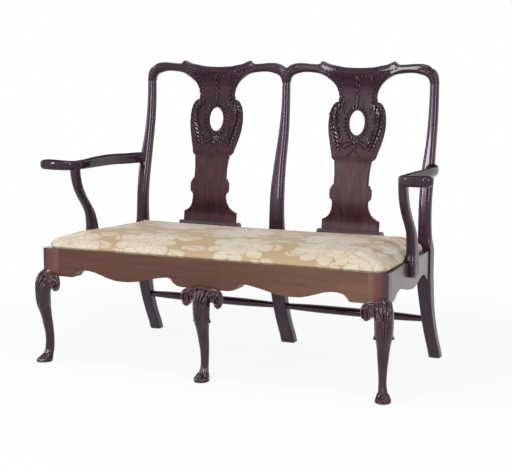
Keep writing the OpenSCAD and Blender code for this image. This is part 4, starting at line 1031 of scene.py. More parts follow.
def husk_drop(front, top, low, count, first, last):
    """Husks of three leaves each, one below another on the middle line."""
    parts = []
    for k in range(count):
        z = top + (low - top) * k / max(count - 1, 1)
        size = first + (last - first) * k / max(count - 1, 1)
        for turn in (-38, 0, 38):
            parts.append(row_on(front, [(0, z), (0, z - 0.004), (0, z - 0.008)], 1, turn, (size, size),
                                mirror=False, lift=0.0004))
    return tuple(np.concatenate([p[i] for p in parts]) for i in range(4))


class SETTEE_OT_crests(bpy.types.Operator):
    """Serpentine crest rails with their carving"""

    bl_idname = "settee.crests"
    bl_label = "Crest rails"

    def execute(self, context):
        carving = context.scene.settee_carving
        outer = crest_half(CREST_OUTER, [(CHAIR_X + 0.0145, POST_TOP), (CHAIR_X - 0.0145, POST_TOP)])
        inner = crest_half(CREST_INNER, [(CHAIR_X, POST_TOP), (CHAIR_X - 0.013, POST_TOP)])
        outline = np.concatenate([outer, (inner * (-1, 1))[::-1][:-1]])
        verts, faces = board(
            outline, [], carving.step, (crest_front, crest_back),
            lambda x, z: crest_relief(x, z) * carving.depth, (crest_rounding, crest_rounding_back), crest_joint)
        verts = verts + (CHAIR_X, 0, 0)
        rows = crest_rows()
        for side in SIDES:
            carved_piece("crest_rail", side, [(verts, faces)], "crest", sharp=55)
            carved_rows("crest_leaves", side, rows, leaf_unit("leaf", 2, 0.0),
                        {"Relief share": carving.depth * 0.85})
        return {"FINISHED"}


# Splats
SPLAT_EDGE = [
    (0, 1), (0.075, 1), (0.084, 0.9), (0.10, 0.8), (0.12, 0.72), (0.15, 0.66), (0.18, 0.63), (0.21, 0.62),
    (0.232, 0.655), (0.235, 0.71), (0.27, 0.73), (0.315, 0.72), (0.325, 0.67), (0.34, 0.66), (0.345, 0.60),
    (0.42, 0.60), (0.48, 0.62), (0.525, 0.65), (0.53, 0.70), (0.545, 0.76), (0.58, 0.80), (0.64, 0.88),
    (0.72, 0.965), (0.79, 1), (0.86, 0.985), (0.91, 0.94), (0.945, 0.86), (0.965, 0.77), (0.97, 0.68),
    (1, 0.66),
]
SPLAT_BEND = [
    (0, 0.12), (0.07, 0.17), (0.18, 0.08), (0.285, 0.133), (0.41, 0.267), (0.5, 0.373), (0.57, 0.533),
    (0.68, 0.733), (0.80, 0.867), (0.9, 0.95), (1, 1),
]
SPLAT_H = NECK_Z - SHOE_TOP
SPLAT_T, SPLAT_HALF_W = 0.013, 0.104
OVAL_Z = SHOE_TOP + SPLAT_H * 0.811


def splat_y(z):
    """Middle line of a splat, bent in an S from its shoe to the crest."""
    return BLOCK_Y + LEAN * smooth(SPLAT_BEND, (np.asarray(z) - SHOE_TOP) / SPLAT_H)


def splat_front(x, z):
    """Front of a splat at every x."""
    return splat_y(z) - SPLAT_T / 2


def splat_relief(x, z):
    """Stems and lines carved on a splat: x from its middle."""
    ax = np.abs(x)
    h = np.zeros(len(x))
    r = np.hypot(x / 0.0295, (z - OVAL_Z) / 0.0425)
    h = np.maximum(h, np.exp(-(((r - 1.07) / 0.05) ** 2)) * 0.0024)
    h = np.maximum(h, 0.0012 * ramp(r, 1.05, 1.12) * (1 - ramp(r, 1.26, 1.36)))
    for path, width, height, kind, ribs in (
        ([(0.0625, 0), (0.066, -0.018), (0.079, -0.034), (0.0895, -0.052), (0.0905, -0.075), (0.0865, -0.1),
          (0.0795, -0.125), (0.071, -0.150), (0.064, -0.172)],
         [0.003, 0.0036, 0.0034, 0.0034, 0.0036, 0.0034, 0.003, 0.0016], 0.0032, "rope", 36),
        ([(0.080, -0.048), (0.070, -0.060), (0.066, -0.076), (0.074, -0.084), (0.080, -0.078), (0.077, -0.071)],
         [0.001, 0.0026, 0.003, 0.003, 0.0026, 0.0016], 0.0030, "round", 0),
        ([(0.079, -0.100), (0.066, -0.108), (0.061, -0.122), (0.068, -0.130), (0.074, -0.125), (0.071, -0.118)],
         [0.001, 0.0026, 0.003, 0.003, 0.0026, 0.0016], 0.0030, "round", 0),
        ([(0.0645, -0.200), (0.050, -0.205), (0.034, -0.201), (0.018, -0.190), (0.007, -0.179), (0.0, -0.172)],
         [0.0012, 0.0019, 0.0019, 0.0019, 0.0016], 0.0022, "round", 0),
        ([(0.0, -0.139), (0.0, -0.150), (0.0, -0.160)], [0.0036, 0.003, 0.001], 0.0030, "round", 0),
    ):
        h = np.maximum(h, stroke(ax, z - NECK_Z, path, width, height, kind, ribs))
    return h


def splat_rows():
    """Leaves of the splat: sprays along its bulb, the foot of the husks and a spray below the oval."""
    edge = [(0.0635, -0.002), (0.067, -0.018), (0.081, -0.032), (0.0900, -0.050), (0.0915, -0.075),
            (0.0880, -0.100), (0.0810, -0.125), (0.073, -0.150), (0.066, -0.174)]
    inner = [(x - 0.005, z) for x, z in edge]
    return [
        row_on(splat_front, edge, 13, 22, (0.0110, 0.0180, 0.0200, 0.0185, 0.0120), ends=(0.05, 0.95)),
        row_on(splat_front, inner, 12, -36, (0.0200, 0.0290, 0.0330, 0.0310, 0.0180), ends=(0.02, 0.97)),
        row_on(splat_front, [(0.080, -0.048), (0.070, -0.060), (0.066, -0.076), (0.073, -0.085)], 5, -48,
               (0.0150, 0.011)),
        row_on(splat_front, [(0.079, -0.100), (0.066, -0.108), (0.061, -0.122), (0.067, -0.131)], 5, -48,
               (0.0150, 0.011)),
        row_on(splat_front, [(0.048, -0.010), (0.054, -0.026), (0.050, -0.044)], 4, -12, (0.0165, 0.012)),
        row_on(splat_front, [(0.047, -0.130), (0.052, -0.146), (0.046, -0.164)], 4, -14, (0.0165, 0.012)),
        row_on(splat_front, [(0.003, -0.146), (0.012, -0.150), (0.030, -0.162)], 4, -26, (0.019, 0.014)),
        row_on(splat_front, [(0.004, -0.140), (0.016, -0.141), (0.036, -0.148)], 4, -38, (0.017, 0.013)),
        husk_drop(splat_front, -0.004, -0.018, 2, 0.0150, 0.0120),
        husk_drop(splat_front, -0.142, -0.158, 2, 0.0180, 0.0140),
    ]


def oval_rows(count):
    """Petals that stand out from the oval all round."""
    a = np.linspace(0, 2 * math.pi, count, endpoint=False)
    at = np.stack([0.0345 * np.cos(a), OVAL_Z + 0.0478 * np.sin(a)], 1)
    way = np.stack([np.cos(a) / 0.0345, np.sin(a) / 0.0478], 1)
    way /= np.linalg.norm(way, axis=1)[:, None]
    return [(*on_front(splat_front, at, way, 0.0003), np.full(count, 0.0135))]


class SETTEE_OT_splats(bpy.types.Operator):
    """Pierced and carved splats in their shoes"""

    bl_idname = "settee.splats"
    bl_label = "Splats"

    def execute(self, context):
        carving = context.scene.settee_carving
        shares = np.array(SPLAT_EDGE)
        s = np.unique(np.concatenate([np.linspace(0, 1, 160), shares[:, 0]]))
        half = np.stack([np.interp(s, shares[:, 0], shares[:, 1]) * SPLAT_HALF_W, SHOE_TOP + s * SPLAT_H], 1)
        outline = np.concatenate([half, (half * (-1, 1))[::-1]])
        a = np.linspace(0, 2 * math.pi, 60, endpoint=False)
        oval = np.stack([0.029 * np.cos(a), OVAL_Z + 0.042 * np.sin(a)], 1)
        verts, faces = board(
            outline, [oval], carving.step, (splat_front, lambda x, z: splat_y(z) + SPLAT_T / 2),
            lambda x, z: splat_relief(x, z) * carving.depth, (level(0.0025), level(0.0015)),
            lambda x, z: (z > NECK_Z - JOINT_GAP) | (z < SHOE_TOP + JOINT_GAP))
        verts = verts + (CHAIR_X, 0, 0)
        for side in SIDES:
            carved_piece("splat", side, [(verts, faces)], "splat", sharp=55)
            carved_rows("splat_leaves", side, splat_rows(), leaf_unit("leaf", 2, 0.0), {
                "Relief share": carving.depth * 0.85})
            carved_rows("splat_petals", side, oval_rows(carving.petals), leaf_unit("petal", 0, 0.10), {
                "Relief share": carving.depth * 1.2, "Variation": 0.04})
            refined("splat_shoe_" + side, finish("mahogany_x"), 0.002)
        return {"FINISHED"}


class SETTEE_OT_rails(bpy.types.Operator):
    """Seat rails with eased edges"""

    bl_idname = "settee.rails"
    bl_label = "Seat rails"

    def execute(self, context):
        refined("front_seat_rail", finish("rail_x"), 0.0015)
        for side in ("left", "right"):
            refined("side_seat_rail_" + side, finish("side_rail"))
            refined("rear_seat_rail_" + side, finish("rail_x"))
        return {"FINISHED"}


# Front legs
CABRIOLE = [
    (0, 1, 0.11, 0.44), (0.015, 1, 0.10, 0.45), (0.038, 0.965, 0.08, 0.44), (0.058, 0.80, 0.06, 0.36),
    (0.08, 0.66, 0.03, 0.305), (0.106, 0.56, -0.01, 0.26), (0.135, 0.49, -0.035, 0.237),
    (0.18, 0.45, -0.05, 0.223), (0.25, 0.44, -0.045, 0.237), (0.32, 0.47, -0.02, 0.264),
    (0.40, 0.56, 0.03, 0.305), (0.48, 0.65, 0.09, 0.34), (0.545, 0.76, 0.125, 0.38), (0.60, 0.86, 0.15, 0.43),
    (0.66, 0.93, 0.165, 0.47), (0.735, 0.97, 0.17, 0.49), (0.80, 0.985, 0.11, 0.495), (0.86, 0.96, -0.02, 0.49),
    (0.91, 0.90, -0.20, 0.47), (0.945, 0.82, -0.30, 0.44), (0.975, 0.68, -0.34, 0.38), (1, 0.50, -0.34, 0.30),
]
FOOT_REACH, KNEE_W = 0.063, 0.056


def leg_carving(a, s):
    """Height of the leg's carving, by the angle from its front and the share of its height."""
    h = np.zeros(np.broadcast(a, s).shape)
    a = np.abs((a + math.pi) % (2 * math.pi) - math.pi)
    # A palmette of flutes is cut into the knee and closes below, with lobed edges
    v = np.clip((0.968 - s) / 0.215, 0, 1)
    reach = 1.75 * (1 - v) ** 0.75 * (1 + 0.05 * np.sin(v * 22)) + 1e-4
    u = a / reach
    leaf = (u < 1) & (s < 0.968) & (s > 0.753)
    flute = np.abs(np.cos(u * math.pi * 2.5)) ** 0.9
    cut = (-0.0044 + 0.0050 * flute) * ramp(1 - v, 0.0, 0.25)
    h = np.where(leaf, np.where(u < 0.88, cut, 0.0009 * (1 - ramp(u, 0.93, 1.0))), h)
    h -= 0.0020 * np.exp(-(((u - 1.07) / 0.06) ** 2)) * (s > 0.753) * (s < 0.968)
    # A narrow leaf runs on down the shin
    t = np.clip((0.80 - s) / 0.205, 0, 1)
    wide = 0.52 * (1 - t) ** 0.7 * (1 + 0.10 * np.sin(t * 26)) + 1e-4
    tail = (s < 0.80) & (s > 0.596) & (a < wide)
    h = np.where(tail, 0.0008 - 0.0026 * np.exp(-((a / 0.07) ** 2)) - 0.0006 * np.abs(np.sin(t * 14 - a * 6)), h)
    h -= 0.0022 * np.exp(-(((a - wide) / 0.07) ** 2)) * (s < 0.80) * (s > 0.596)
    # A rib down each side ends in a small leaf spur
    side = np.exp(-(((a - 1.62) / 0.15) ** 2))
    side = side * np.clip((s - 0.60) / 0.02, 0, 1) * np.clip((0.93 - s) / 0.05, 0, 1)
    h = h + (0.0018 - h) * side
    down = np.where(s < 0.612, 0.006, 0.028)
    spur = np.exp(-(((a - 1.62) / 0.24) ** 2) - ((s - 0.612) / down) ** 2)
    h = h + (0.0075 - h) * spur
    # Toes with tendons above them, on a plain pad
    toes = 0.5 + 0.5 * np.cos(a * 5.0)
    front = np.clip((2.5 - a) / 0.5, 0, 1)
    ease = np.clip((0.175 - s) / 0.1, 0, 1) * np.clip((s - 0.022) / 0.006, 0, 1) * front
    h = h + (toes - 0.98) * 0.0034 * ease
    knuckle = np.exp(-(((s - 0.066) / 0.013) ** 2)) * toes * front * 0.0020
    joint = -np.exp(-(((s - 0.092) / 0.006) ** 2)) * toes * front * 0.0012
    line = -np.exp(-(((s - 0.021) / 0.0035) ** 2)) * 0.0020
    return h + knuckle + joint + line


def cabriole(x, y, turn, top, carving):
    """Leg swept through its sections, its knee and toes carved."""
    spans = (np.linspace(*span) for span in ((0.006, 0.18, 64), (0.18, 0.58, 50), (0.58, 1, 150)))
    s = np.unique(np.concatenate([[0.0, 0.002], *spans]))
    s = s[s * KNEE_TOP <= top + 1e-9]
    a = np.linspace(0, 2 * math.pi, 144, endpoint=False)
    outer, inner, wide = (smooth(CABRIOLE, s, c)[:, None] for c in (1, 2, 3))
    mid, d, w = (outer + inner) / 2 * FOOT_REACH, (outer - inner) / 2 * FOOT_REACH, wide * KNEE_W
    h = leg_carving(a[None, :], s[:, None]) * carving - 0.0016 * (1 - ramp(s, 0.0, 0.008))[:, None]
    px, py = (w + h) * np.sin(a), -mid - (d + h) * np.cos(a)
    c, q = math.cos(turn), math.sin(turn)
    z = np.repeat((s * KNEE_TOP)[:, None], len(a), 1)
    return loft(np.stack([x + c * px - q * py, y + q * px + c * py, z], -1))


def corner_plan(inset, radius, x1, y1, n=8):
    """Right front corner of a plan set in by inset, from x1 on the front to y1 on the side."""
    front, side = inset
    x0 = side_x(front) - side
    a = np.radians(np.linspace(-90, 0, n + 1))
    arc = [(x0 - radius + radius * math.cos(k), front + radius + radius * math.sin(k)) for k in a]
    return [(x1, front)] + arc + [(side_x(y1) - side, y1)]


BRACKETS = {
    "end": (0.056, [
        (0, 0.62), (0.25, 0.64), (0.4, 0.67), (0.49, 0.8), (0.62, 0.9), (0.78, 0.88), (0.93, 0.72), (1, 0.45),
        (0.98, 0.2), (0.88, 0), (0.7, -0.12), (0.4, -0.2)]),
    "centre": (0.073, [
        (0, 0.62), (0.4, 0.62), (0.55, 0.68), (0.6, 0.84), (0.68, 0.98), (0.79, 1.03), (0.92, 0.9), (1, 0.64),
        (1, 0.34), (0.95, 0.12), (0.84, 0), (0.7, -0.08), (0.4, -0.16)]),
}
BRACKET_PLAN, BRACKET_DROP = [(0, 1), (0.5, 0.8), (1.02, 0.36)], 0.054


def bracket_relief(reach, drop):
    """A scroll that winds up in the bracket's end, with leaves along it."""
    def relief(x, z):
        v = z - RAIL_LOW
        cx, cz = reach * 0.74, -drop * 0.52
        turns = []
        for k in range(14):
            r, a = 0.30 * (1 - k / 15), 1.9 - k * 0.62
            turns.append((cx + r * reach * math.cos(a) * 0.85, cz + r * drop * math.sin(a) * 1.25))
        h = stroke(x, v, [(reach * 0.2, drop * 0.06), (reach * 0.45, drop * 0.05)] + turns,
                   [0.003, 0.0042, 0.0040, 0.0032, 0.0022], 0.0050, "round", 0, 60)
        for k in range(5):
            px = reach * (0.30 + 0.07 * k)
            leaf = [(px, -drop * (0.02 + 0.02 * k)), (px - 0.002, -drop * 0.26),
                    (px - 0.008, -drop * (0.52 - 0.02 * k))]
            h = np.maximum(h, stroke(x, v, leaf, [0.0036, 0.0036, 0.0006], 0.0038, "leaf", 3))
        return h - 0.0012
    return relief


def bracket(kind, step, depth):
    """Knee bracket cut to its outline, its back shaped in plan."""
    reach, shares = BRACKETS[kind]
    drop = BRACKET_DROP
    shape = curve([(u * reach, RAIL_LOW - v * drop) for u, v in shares], 8)
    outline = np.concatenate([[(0, shape[-1][1])], shape])
    relief = bracket_relief(reach, drop)
    plan = np.array(BRACKET_PLAN)

    def back(x, z):
        y = -0.026 + 0.036 * np.interp(x / reach, plan[:, 0], plan[:, 1])
        return np.where(z > RAIL_LOW - 0.0005, np.minimum(y, -0.0002), y)

    return board(outline, [], step, (level(-0.0225), back), lambda x, z: relief(x, z) * depth * 1.5,
                 (level(0.004), level(0.002)))


class SETTEE_OT_legs(bpy.types.Operator):
    """Carved cabriole legs with their knee brackets"""

    bl_idname = "settee.legs"
    bl_label = "Front legs"

    def execute(self, context):
        carving = context.scene.settee_carving
        x0 = FRONT_W / 2 - LEG_BLOCK
        low = corner_plan((0, 0), 0.008, x0, LEG_BLOCK) + [(x0, LEG_BLOCK)]
        lip = corner_plan((0, 0), 0.008, x0, LEG_BLOCK) + corner_plan(LIPS, 0.028, x0, LEG_BLOCK)[::-1]
        leg = cabriole(FRONT_W / 2 - LEG_AXIS, LEG_AXIS, math.radians(26), KNEE_TOP, carving.depth)
        end = bracket("end", carving.step * 0.7, carving.depth)
        middle = bracket("centre", carving.step * 0.7, carving.depth)
        for side in SIDES:
            block = [prism(low, RAIL_LOW, REBATE), prism(lip, REBATE - 0.0005, RAIL_TOP)]
            carved_piece("front_leg", side, [leg] + block, "leg", sharp=50)
            ear = (end[0] * (-1, 1, 1) + (FRONT_W / 2 - LEG_AXIS, 0, 0), end[1])
            carved_piece("knee_bracket", side, [ear], "bracket", sharp=55)
            carved_piece("knee_bracket_centre", side, [middle], "bracket", sharp=55)
        leg = cabriole(0, CENTRE_LEG_AXIS, 0, RAIL_LOW - 0.0002, carving.depth)
        carved_piece("front_leg", "centre", [leg], "leg", sharp=50)
        return {"FINISHED"}


# Arms
ARM = [
    (0, 0.057, -0.02), (0.103, 0.23, -0.02), (0.236, 0.357, 0), (0.368, 0.386, 0.04), (0.5, 0.371, 0.03),
    (0.644, 0.352, 0), (0.772, 0.345, -0.05), (0.885, 0.37, -0.08), (0.95, 0.46, -0.07), (0.986, 0.70, -0.03),
    (1, 1, 0.01),
]
ARM_SECTION = [
    (0, 0.95, 0.97, 0.08), (0.12, 1, 1, 0.13), (0.25, 1, 1, 0.14), (0.45, 0.95, 0.96, 0.11),
    (0.6, 0.88, 0.92, 0.04), (0.72, 0.84, 0.92, 0), (0.84, 1.05, 0.97, 0), (0.94, 1.2, 1, 0),
    (1, 1.22, 0.98, 0),
]
ARM_MID, ARM_OUT, ARM_TIP, ARM_W, ARM_T = RAIL_TOP + 0.266, 0.140, 0.130, 0.036, 0.036
SUPPORT = [
    (-0.35, 0, 0.35, 0.6), (-0.34, 0, 0.72, 0.75), (-0.32, 0, 1.08, 0.88), (-0.285, 0, 1.38, 0.96),
    (-0.23, 0, 1.56, 1), (-0.1, 0, 1.64, 1.05), (0, 0, 1.6, 1.07), (0.12, -0.02, 1.45, 1.06),
    (0.34, 0.10, 1.1, 1), (0.46, 0.31, 1, 1), (0.58, 0.58, 0.98, 1), (0.72, 0.82, 1, 0.97),
    (0.86, 0.95, 1.05, 0.92), (1, 1, 1.12, 0.87),
]
SUPPORT_T, SUPPORT_W, LAP = 0.029, 0.036, 0.051


def arm_line(n):
    """Middle line of the arm from its post to its tip, n steps between each two of its table's points."""
    post_y = float(stile_y(ARM_MID))
    places = [(POST_X + u * ARM_OUT, post_y + s * (ARM_TIP - post_y), ARM_MID + v * ARM_T) for s, u, v in ARM]
    return curve(places, n)


def arm_body():
    """Arm swept along its line, dished on top with its outer edge raised."""
    n = 16
    line = arm_line(n)
    last = len(line) - 1

    # The sides follow the coarser line that the frame's arm follows
    def ring(i, scale=1.0, push=0.0):
        s = i / last
        d = line[min(i + n // 2, last), :2] - line[max(i - n // 2, 0), :2]
        side = np.array([-d[1], d[0]]) / np.linalg.norm(d)
        w = smooth(ARM_SECTION, s, 1) * ARM_W / 2 * scale
        t = smooth(ARM_SECTION, s, 2) * ARM_T / 2 * (0.4 + 0.6 * scale)
        tilt = smooth(ARM_SECTION, s, 3) * ARM_T / w
        dished = (0.0036 - 0.0012 * float(ramp(s, 0.55, 0.75))) * float(ramp(s, 0.03, 0.15)) * scale
        out = []
        for p, q in oblong(w, t, 0.75, 0.75, 8):
            dish = -dished * (1 - (p / w) ** 2) if q > 0 else 0.0
            x, y = line[i, 0] + push * side[1] + side[0] * p, line[i, 1] - push * side[0] + side[1] * p
            out.append((x, y, line[i, 2] + q + dish + tilt * p))
        return out

    rings = [ring(i) for i in range(last + 1)]
    for a in np.radians(np.linspace(0, 84, 12)[1:]):
        rings.append(ring(last, math.cos(a), ARM_W * 0.61 * math.sin(a)))
    return loft(rings)


def paint_dish_dark(mesh):
    """Painted shade: the arm's dished top is marked as a recess, so that it is painted dark and loses its polish,
    and only its rims shine.
    """
    hollow = mesh.attributes["hollow"].data
    facing_up = ramp(numbers(mesh.vertex_normals, "vector", 3)[:, 2], 0.84, 0.94)
    store(hollow, "value", np.maximum(numbers(hollow, "value"), facing_up))


def support_body():
    """Arm support swept from its lap on the side rail to the arm, with a collar at the rail."""
    head = arm_line(2)[14] + (SUPPORT_T * 0.1, 0, 0)
    foot_y = SEAT_D * 0.523
    foot_x = side_x(foot_y) + SUPPORT_T * 0.14
    run = head[2] - ARM_T * 0.2 - RAIL_TOP
    rings = []
    for s in np.unique(np.concatenate([np.linspace(-0.35, -0.30, 12), np.linspace(-0.30, 1, 100)])):
        go, wide, thick = (smooth(SUPPORT, s, c) for c in (1, 2, 3))
        lean = foot_x + (head[0] - SUPPORT_T * 0.05 - foot_x) * go
        x = foot_x + SUPPORT_T * 0.1 + (lean - foot_x - SUPPORT_T * 0.1) * float(ramp(s, -0.05, 0.0))
        y = foot_y + (head[1] - SUPPORT_W * 0.2 - foot_y) * go
        z = RAIL_TOP + (s * LAP / 0.35 if s < 0 else s * run)
        collar = 0.0006 * math.exp(-(((s - 0.016) / 0.009) ** 2))
        collar -= 0.0004 * math.exp(-(((s + 0.012) / 0.008) ** 2))
        rings.append([(x + p, y + q, z) for p, q in oblong(
            thick * SUPPORT_T / 2 + collar, wide * SUPPORT_W / 2 + collar, 0.8, 0.8, 8)])
    return loft(rings)


class SETTEE_OT_arms(bpy.types.Operator):
    """Out-turned arms and their supports"""

    bl_idname = "settee.arms"
    bl_label = "Arms"

    def execute(self, context):
        for side in SIDES:
            paint_dish_dark(carved_piece("arm", side, [arm_body()], "arm", "dressed", 60).data)
            carved_piece("arm_support", side, [support_body()], "mahogany_z", "dressed", 60)
        return {"FINISHED"}


# Drop-in seat
SEAT_IN = (LIPS[0] + 0.002, LIPS[1] + 0.002)
SEAT_BACK = SEAT_D - 0.002
SWELL, SWELL_FRAMES, VOXEL, HELD_H = 0.006, 20, 0.0055, 0.0125
# Set-in and height of the turned cover's corners, with its fold of cloth under the bars
COVER_POINTS = 420
COVER_BAND = (
    (0.0, 0.0052), (0.0, -0.0165), (0.0255, -0.0165), (0.0255, -0.0155), (0.0013, -0.0155), (0.0013, 0.0052),
)
CROWN = [
    (0, 0.1), (0.002, 0.3), (0.008, 0.49), (0.024, 0.67), (0.055, 0.82), (0.11, 0.92), (0.2, 0.975), (0.34, 1),
]


def seat_edge(extra):
    """Closed plan of the drop-in seat, set in by extra, with many points."""
    r = max(0.026 - extra, 0.004)
    right = corner_plan((SEAT_IN[0] + extra, SEAT_IN[1] + extra), r, 0.0, SEAT_BACK - extra, 14)
    whole = np.array(right + [(-x, y) for x, y in right[::-1]][:-1])
    return even_loop(whole, 0.008)


def pad_rings(crown):
    """Rings of the pad from its underside to the edge of its flat top."""
    rings = []
    mid_y = (SEAT_IN[0] + SEAT_BACK) / 2
    depth = SEAT_BACK - SEAT_IN[0]
    half_w = side_x(mid_y)
    edge = even_loop(seat_edge(0.0), 0.008)
    n = len(edge)
    # The sides bulge over the lips, less at the arm supports, and not towards the posts
    d = np.roll(edge, -1, 0) - np.roll(edge, 1, 0)
    normal = np.stack([d[:, 1], -d[:, 0]], 1) / np.linalg.norm(d, axis=1)[:, None]
    y = edge[:, 1]
    at_side = 0.0105 - 0.0060 * ramp(y, 0.205, 0.235) * (1 - ramp(y, 0.30, 0.33)) - 0.0045 * ramp(y, 0.31, 0.36)
    along_side = np.abs(normal[:, 0])
    bulge = (0.0065 * (1 - along_side) + at_side * along_side) * (1 - ramp(y, SEAT_BACK - 0.03, SEAT_BACK - 0.002))
    bulge = bulge[:, None]
    for z, out in ((0.0013, -0.25), (0.0013, 0.75), (0.003, 0.93), (0.006, 1.0), (0.011, 1.0), (0.017, 0.88),
                   (0.0225, 0.68)):
        rings.append(np.column_stack([edge + normal * out * bulge, np.full(n, RAIL_TOP + z)]))
    for share, rise in CROWN[2:]:
        p = edge * (1 - share * depth / half_w, 1)
        p[:, 1] = mid_y + (edge[:, 1] - mid_y) * (1 - share * depth / (depth / 2))
        swell = 0.42 * max(0.0, 1 - share / 0.06)
        rings.append(np.column_stack([p + normal * swell * bulge, np.full(n, RAIL_TOP + rise * crown)]))
    return rings


def settle(obj, cap, pinned_z):
    """Swells the pad as stuffed cloth, holding its lower edge, and caps how far a point moves."""
    group = obj.vertex_groups.new(name="held")
    held = [v.index for v in obj.data.vertices if v.co.z < pinned_z]
    group.add(held, 1.0, "REPLACE")
    mod = obj.modifiers.new("Stuffing", "CLOTH")
    cloth = mod.settings
    cloth.quality, cloth.mass = 4, 0.4
    cloth.tension_stiffness = cloth.compression_stiffness = 20
    cloth.bending_stiffness = 2.0
    cloth.use_pressure, cloth.uniform_pressure_force = True, 4.0
    cloth.effector_weights.gravity = 0.0
    cloth.vertex_group_mass = "held"
    mod.collision_settings.use_collision = False
    scene = bpy.context.scene
    for f in range(1, SWELL_FRAMES + 1):
        scene.frame_set(f)
    moved = bpy.data.meshes.new_from_object(obj.evaluated_get(bpy.context.evaluated_depsgraph_get()))
    obj.modifiers.remove(mod)
    scene.frame_set(1)
    start = numbers(obj.data.vertices, "co", 3)
    d = numbers(moved.vertices, "co", 3) - start
    length = np.maximum(np.linalg.norm(d, axis=1), 1e-9)
    d *= (np.minimum(length, cap) / length)[:, None]
    store(obj.data.vertices, "co", start + d)
    bpy.data.meshes.remove(moved)


def cloth_uv(mesh):
    """Lays the woven pattern over the top and on down the sides, in metres."""
    x, y, z = (numbers(mesh.vertices, "co", 3) - (0, FACE_Y, 0)).T
    inset = 0.045
    y_in = np.clip(y, SEAT_IN[0] + inset, SEAT_BACK - inset)
    half = side_x(y_in) - SEAT_IN[1] - inset
    x_in = np.clip(x, -half, half)
    out = np.stack([x - x_in, y - y_in], 1)
    far = np.linalg.norm(out, axis=1)
    way = out / np.maximum(far, 1e-6)[:, None]
    drop = np.maximum(RAIL_TOP + 0.052 - z, 0) * np.clip(far / 0.02, 0, 1)
    uv = np.stack([x_in, y_in], 1) + way * (far + drop * 0.75)[:, None]
    corners = numbers(mesh.loops, "vertex_index", 1, int)
    store(mesh.uv_layers.new(name="weave").data, "uv", uv[corners])


class SETTEE_OT_seat(bpy.types.Operator):
    """Stuffed pad of the drop-in seat and the cover turned under its frame"""

    bl_idname = "settee.seat"
    bl_label = "Drop-in seat"

    def execute(self, context):
        props = context.scene.settee_cloth
        # The stuffing swells the pad, so it starts smaller
        swell = SWELL
        verts, faces = loft(pad_rings(props.crown - swell))
        obj = solid("seat_pad", [(verts, faces)], finish("damask"), body="slip_seat")
        voxels = obj.modifiers.new("Even mesh", "REMESH")
        voxels.mode, voxels.voxel_size = "VOXEL", VOXEL
        even = bpy.data.meshes.new_from_object(obj.evaluated_get(context.evaluated_depsgraph_get()))
        obj.modifiers.clear()
        old = obj.data
        obj.data = even
        bpy.data.meshes.remove(old)
        settle(obj, swell, RAIL_TOP + HELD_H)
        obj.data.shade_smooth()
        obj.data.materials.clear()
        obj.data.materials.append(finish("damask"))
        cloth_uv(obj.data)
        finer = obj.modifiers.new("Finer", "SUBSURF")
        finer.levels = finer.render_levels = 1
        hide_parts("seat_stuffing", "seat_cover")
        # The cover goes down round the frame's bars and is turned under them
        rings = []
        for extra, z in COVER_BAND:
            edge = even_count(seat_edge(extra), COVER_POINTS)
            rings.append(np.column_stack([edge, np.full(COVER_POINTS, RAIL_TOP + z)]))
        band_verts, band_faces = loft(rings + rings[:1])
        band = solid("seat_cover_turned_under", [(band_verts, band_faces[:-2])], finish("damask"),
                     body="slip_seat")
        cloth_uv(band.data)
        return {"FINISHED"}


class SETTEE_OT_inner(bpy.types.Operator):
    """Finishes of the pieces under the seat, whose frame shapes stay"""

    bl_idname = "settee.inner"
    bl_label = "Inner frame"

    def execute(self, context):
        corners = ("front_left", "front_right", "rear_left", "rear_right")
        looks = {
            "beech_x": ["seat_bar_front", "seat_bar_rear"] + ["corner_block_" + corner for corner in corners],
            "beech_y": ["centre_cross_rail", "seat_bar_left", "seat_bar_right", "seat_bar_centre"],
            "webbing": ["seat_webbing"], "hessian": ["seat_hessian"], "dust_cloth": ["dust_cloth"],
            "steel": ["dust_cloth_tacks", "corner_block_screws", "arm_support_screws", "arm_post_screws"],
        }
        for look, nodes in looks.items():
            for node in nodes:
                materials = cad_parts[node].data.materials
                if not len(materials):
                    materials.append(finish(look))
                for k in range(len(materials)):
                    materials[k] = finish(look)
        return {"FINISHED"}


# Stage: lamps by name, place, height aimed at, width and height
LAMPS = (
    ("key", (-1.3, -3.9, 1.9), 0.6, 0.6, 2.2),
    ("side", (-3.7, -1.6, 1.9), 0.6, 0.5, 2.0),
    ("fill", (3.4, -1.9, 1.8), 0.6, 0.5, 2.0),
    ("top", (0.2, -0.6, 3.4), 0.5, 1.4, 0.7),
)
FLOOR_HALF = 14.0
# The photograph's camera: its place from the front rail's face, and its yaw, pitch and roll in degrees
CAMERA_AT, CAMERA_TURN = (1.98247, -3.64695, 1.02874), (25.98, -8.0, 0.14)
SENSOR, LENS, SHIFT = 36, 94.2, (-0.0141, 0.0084)


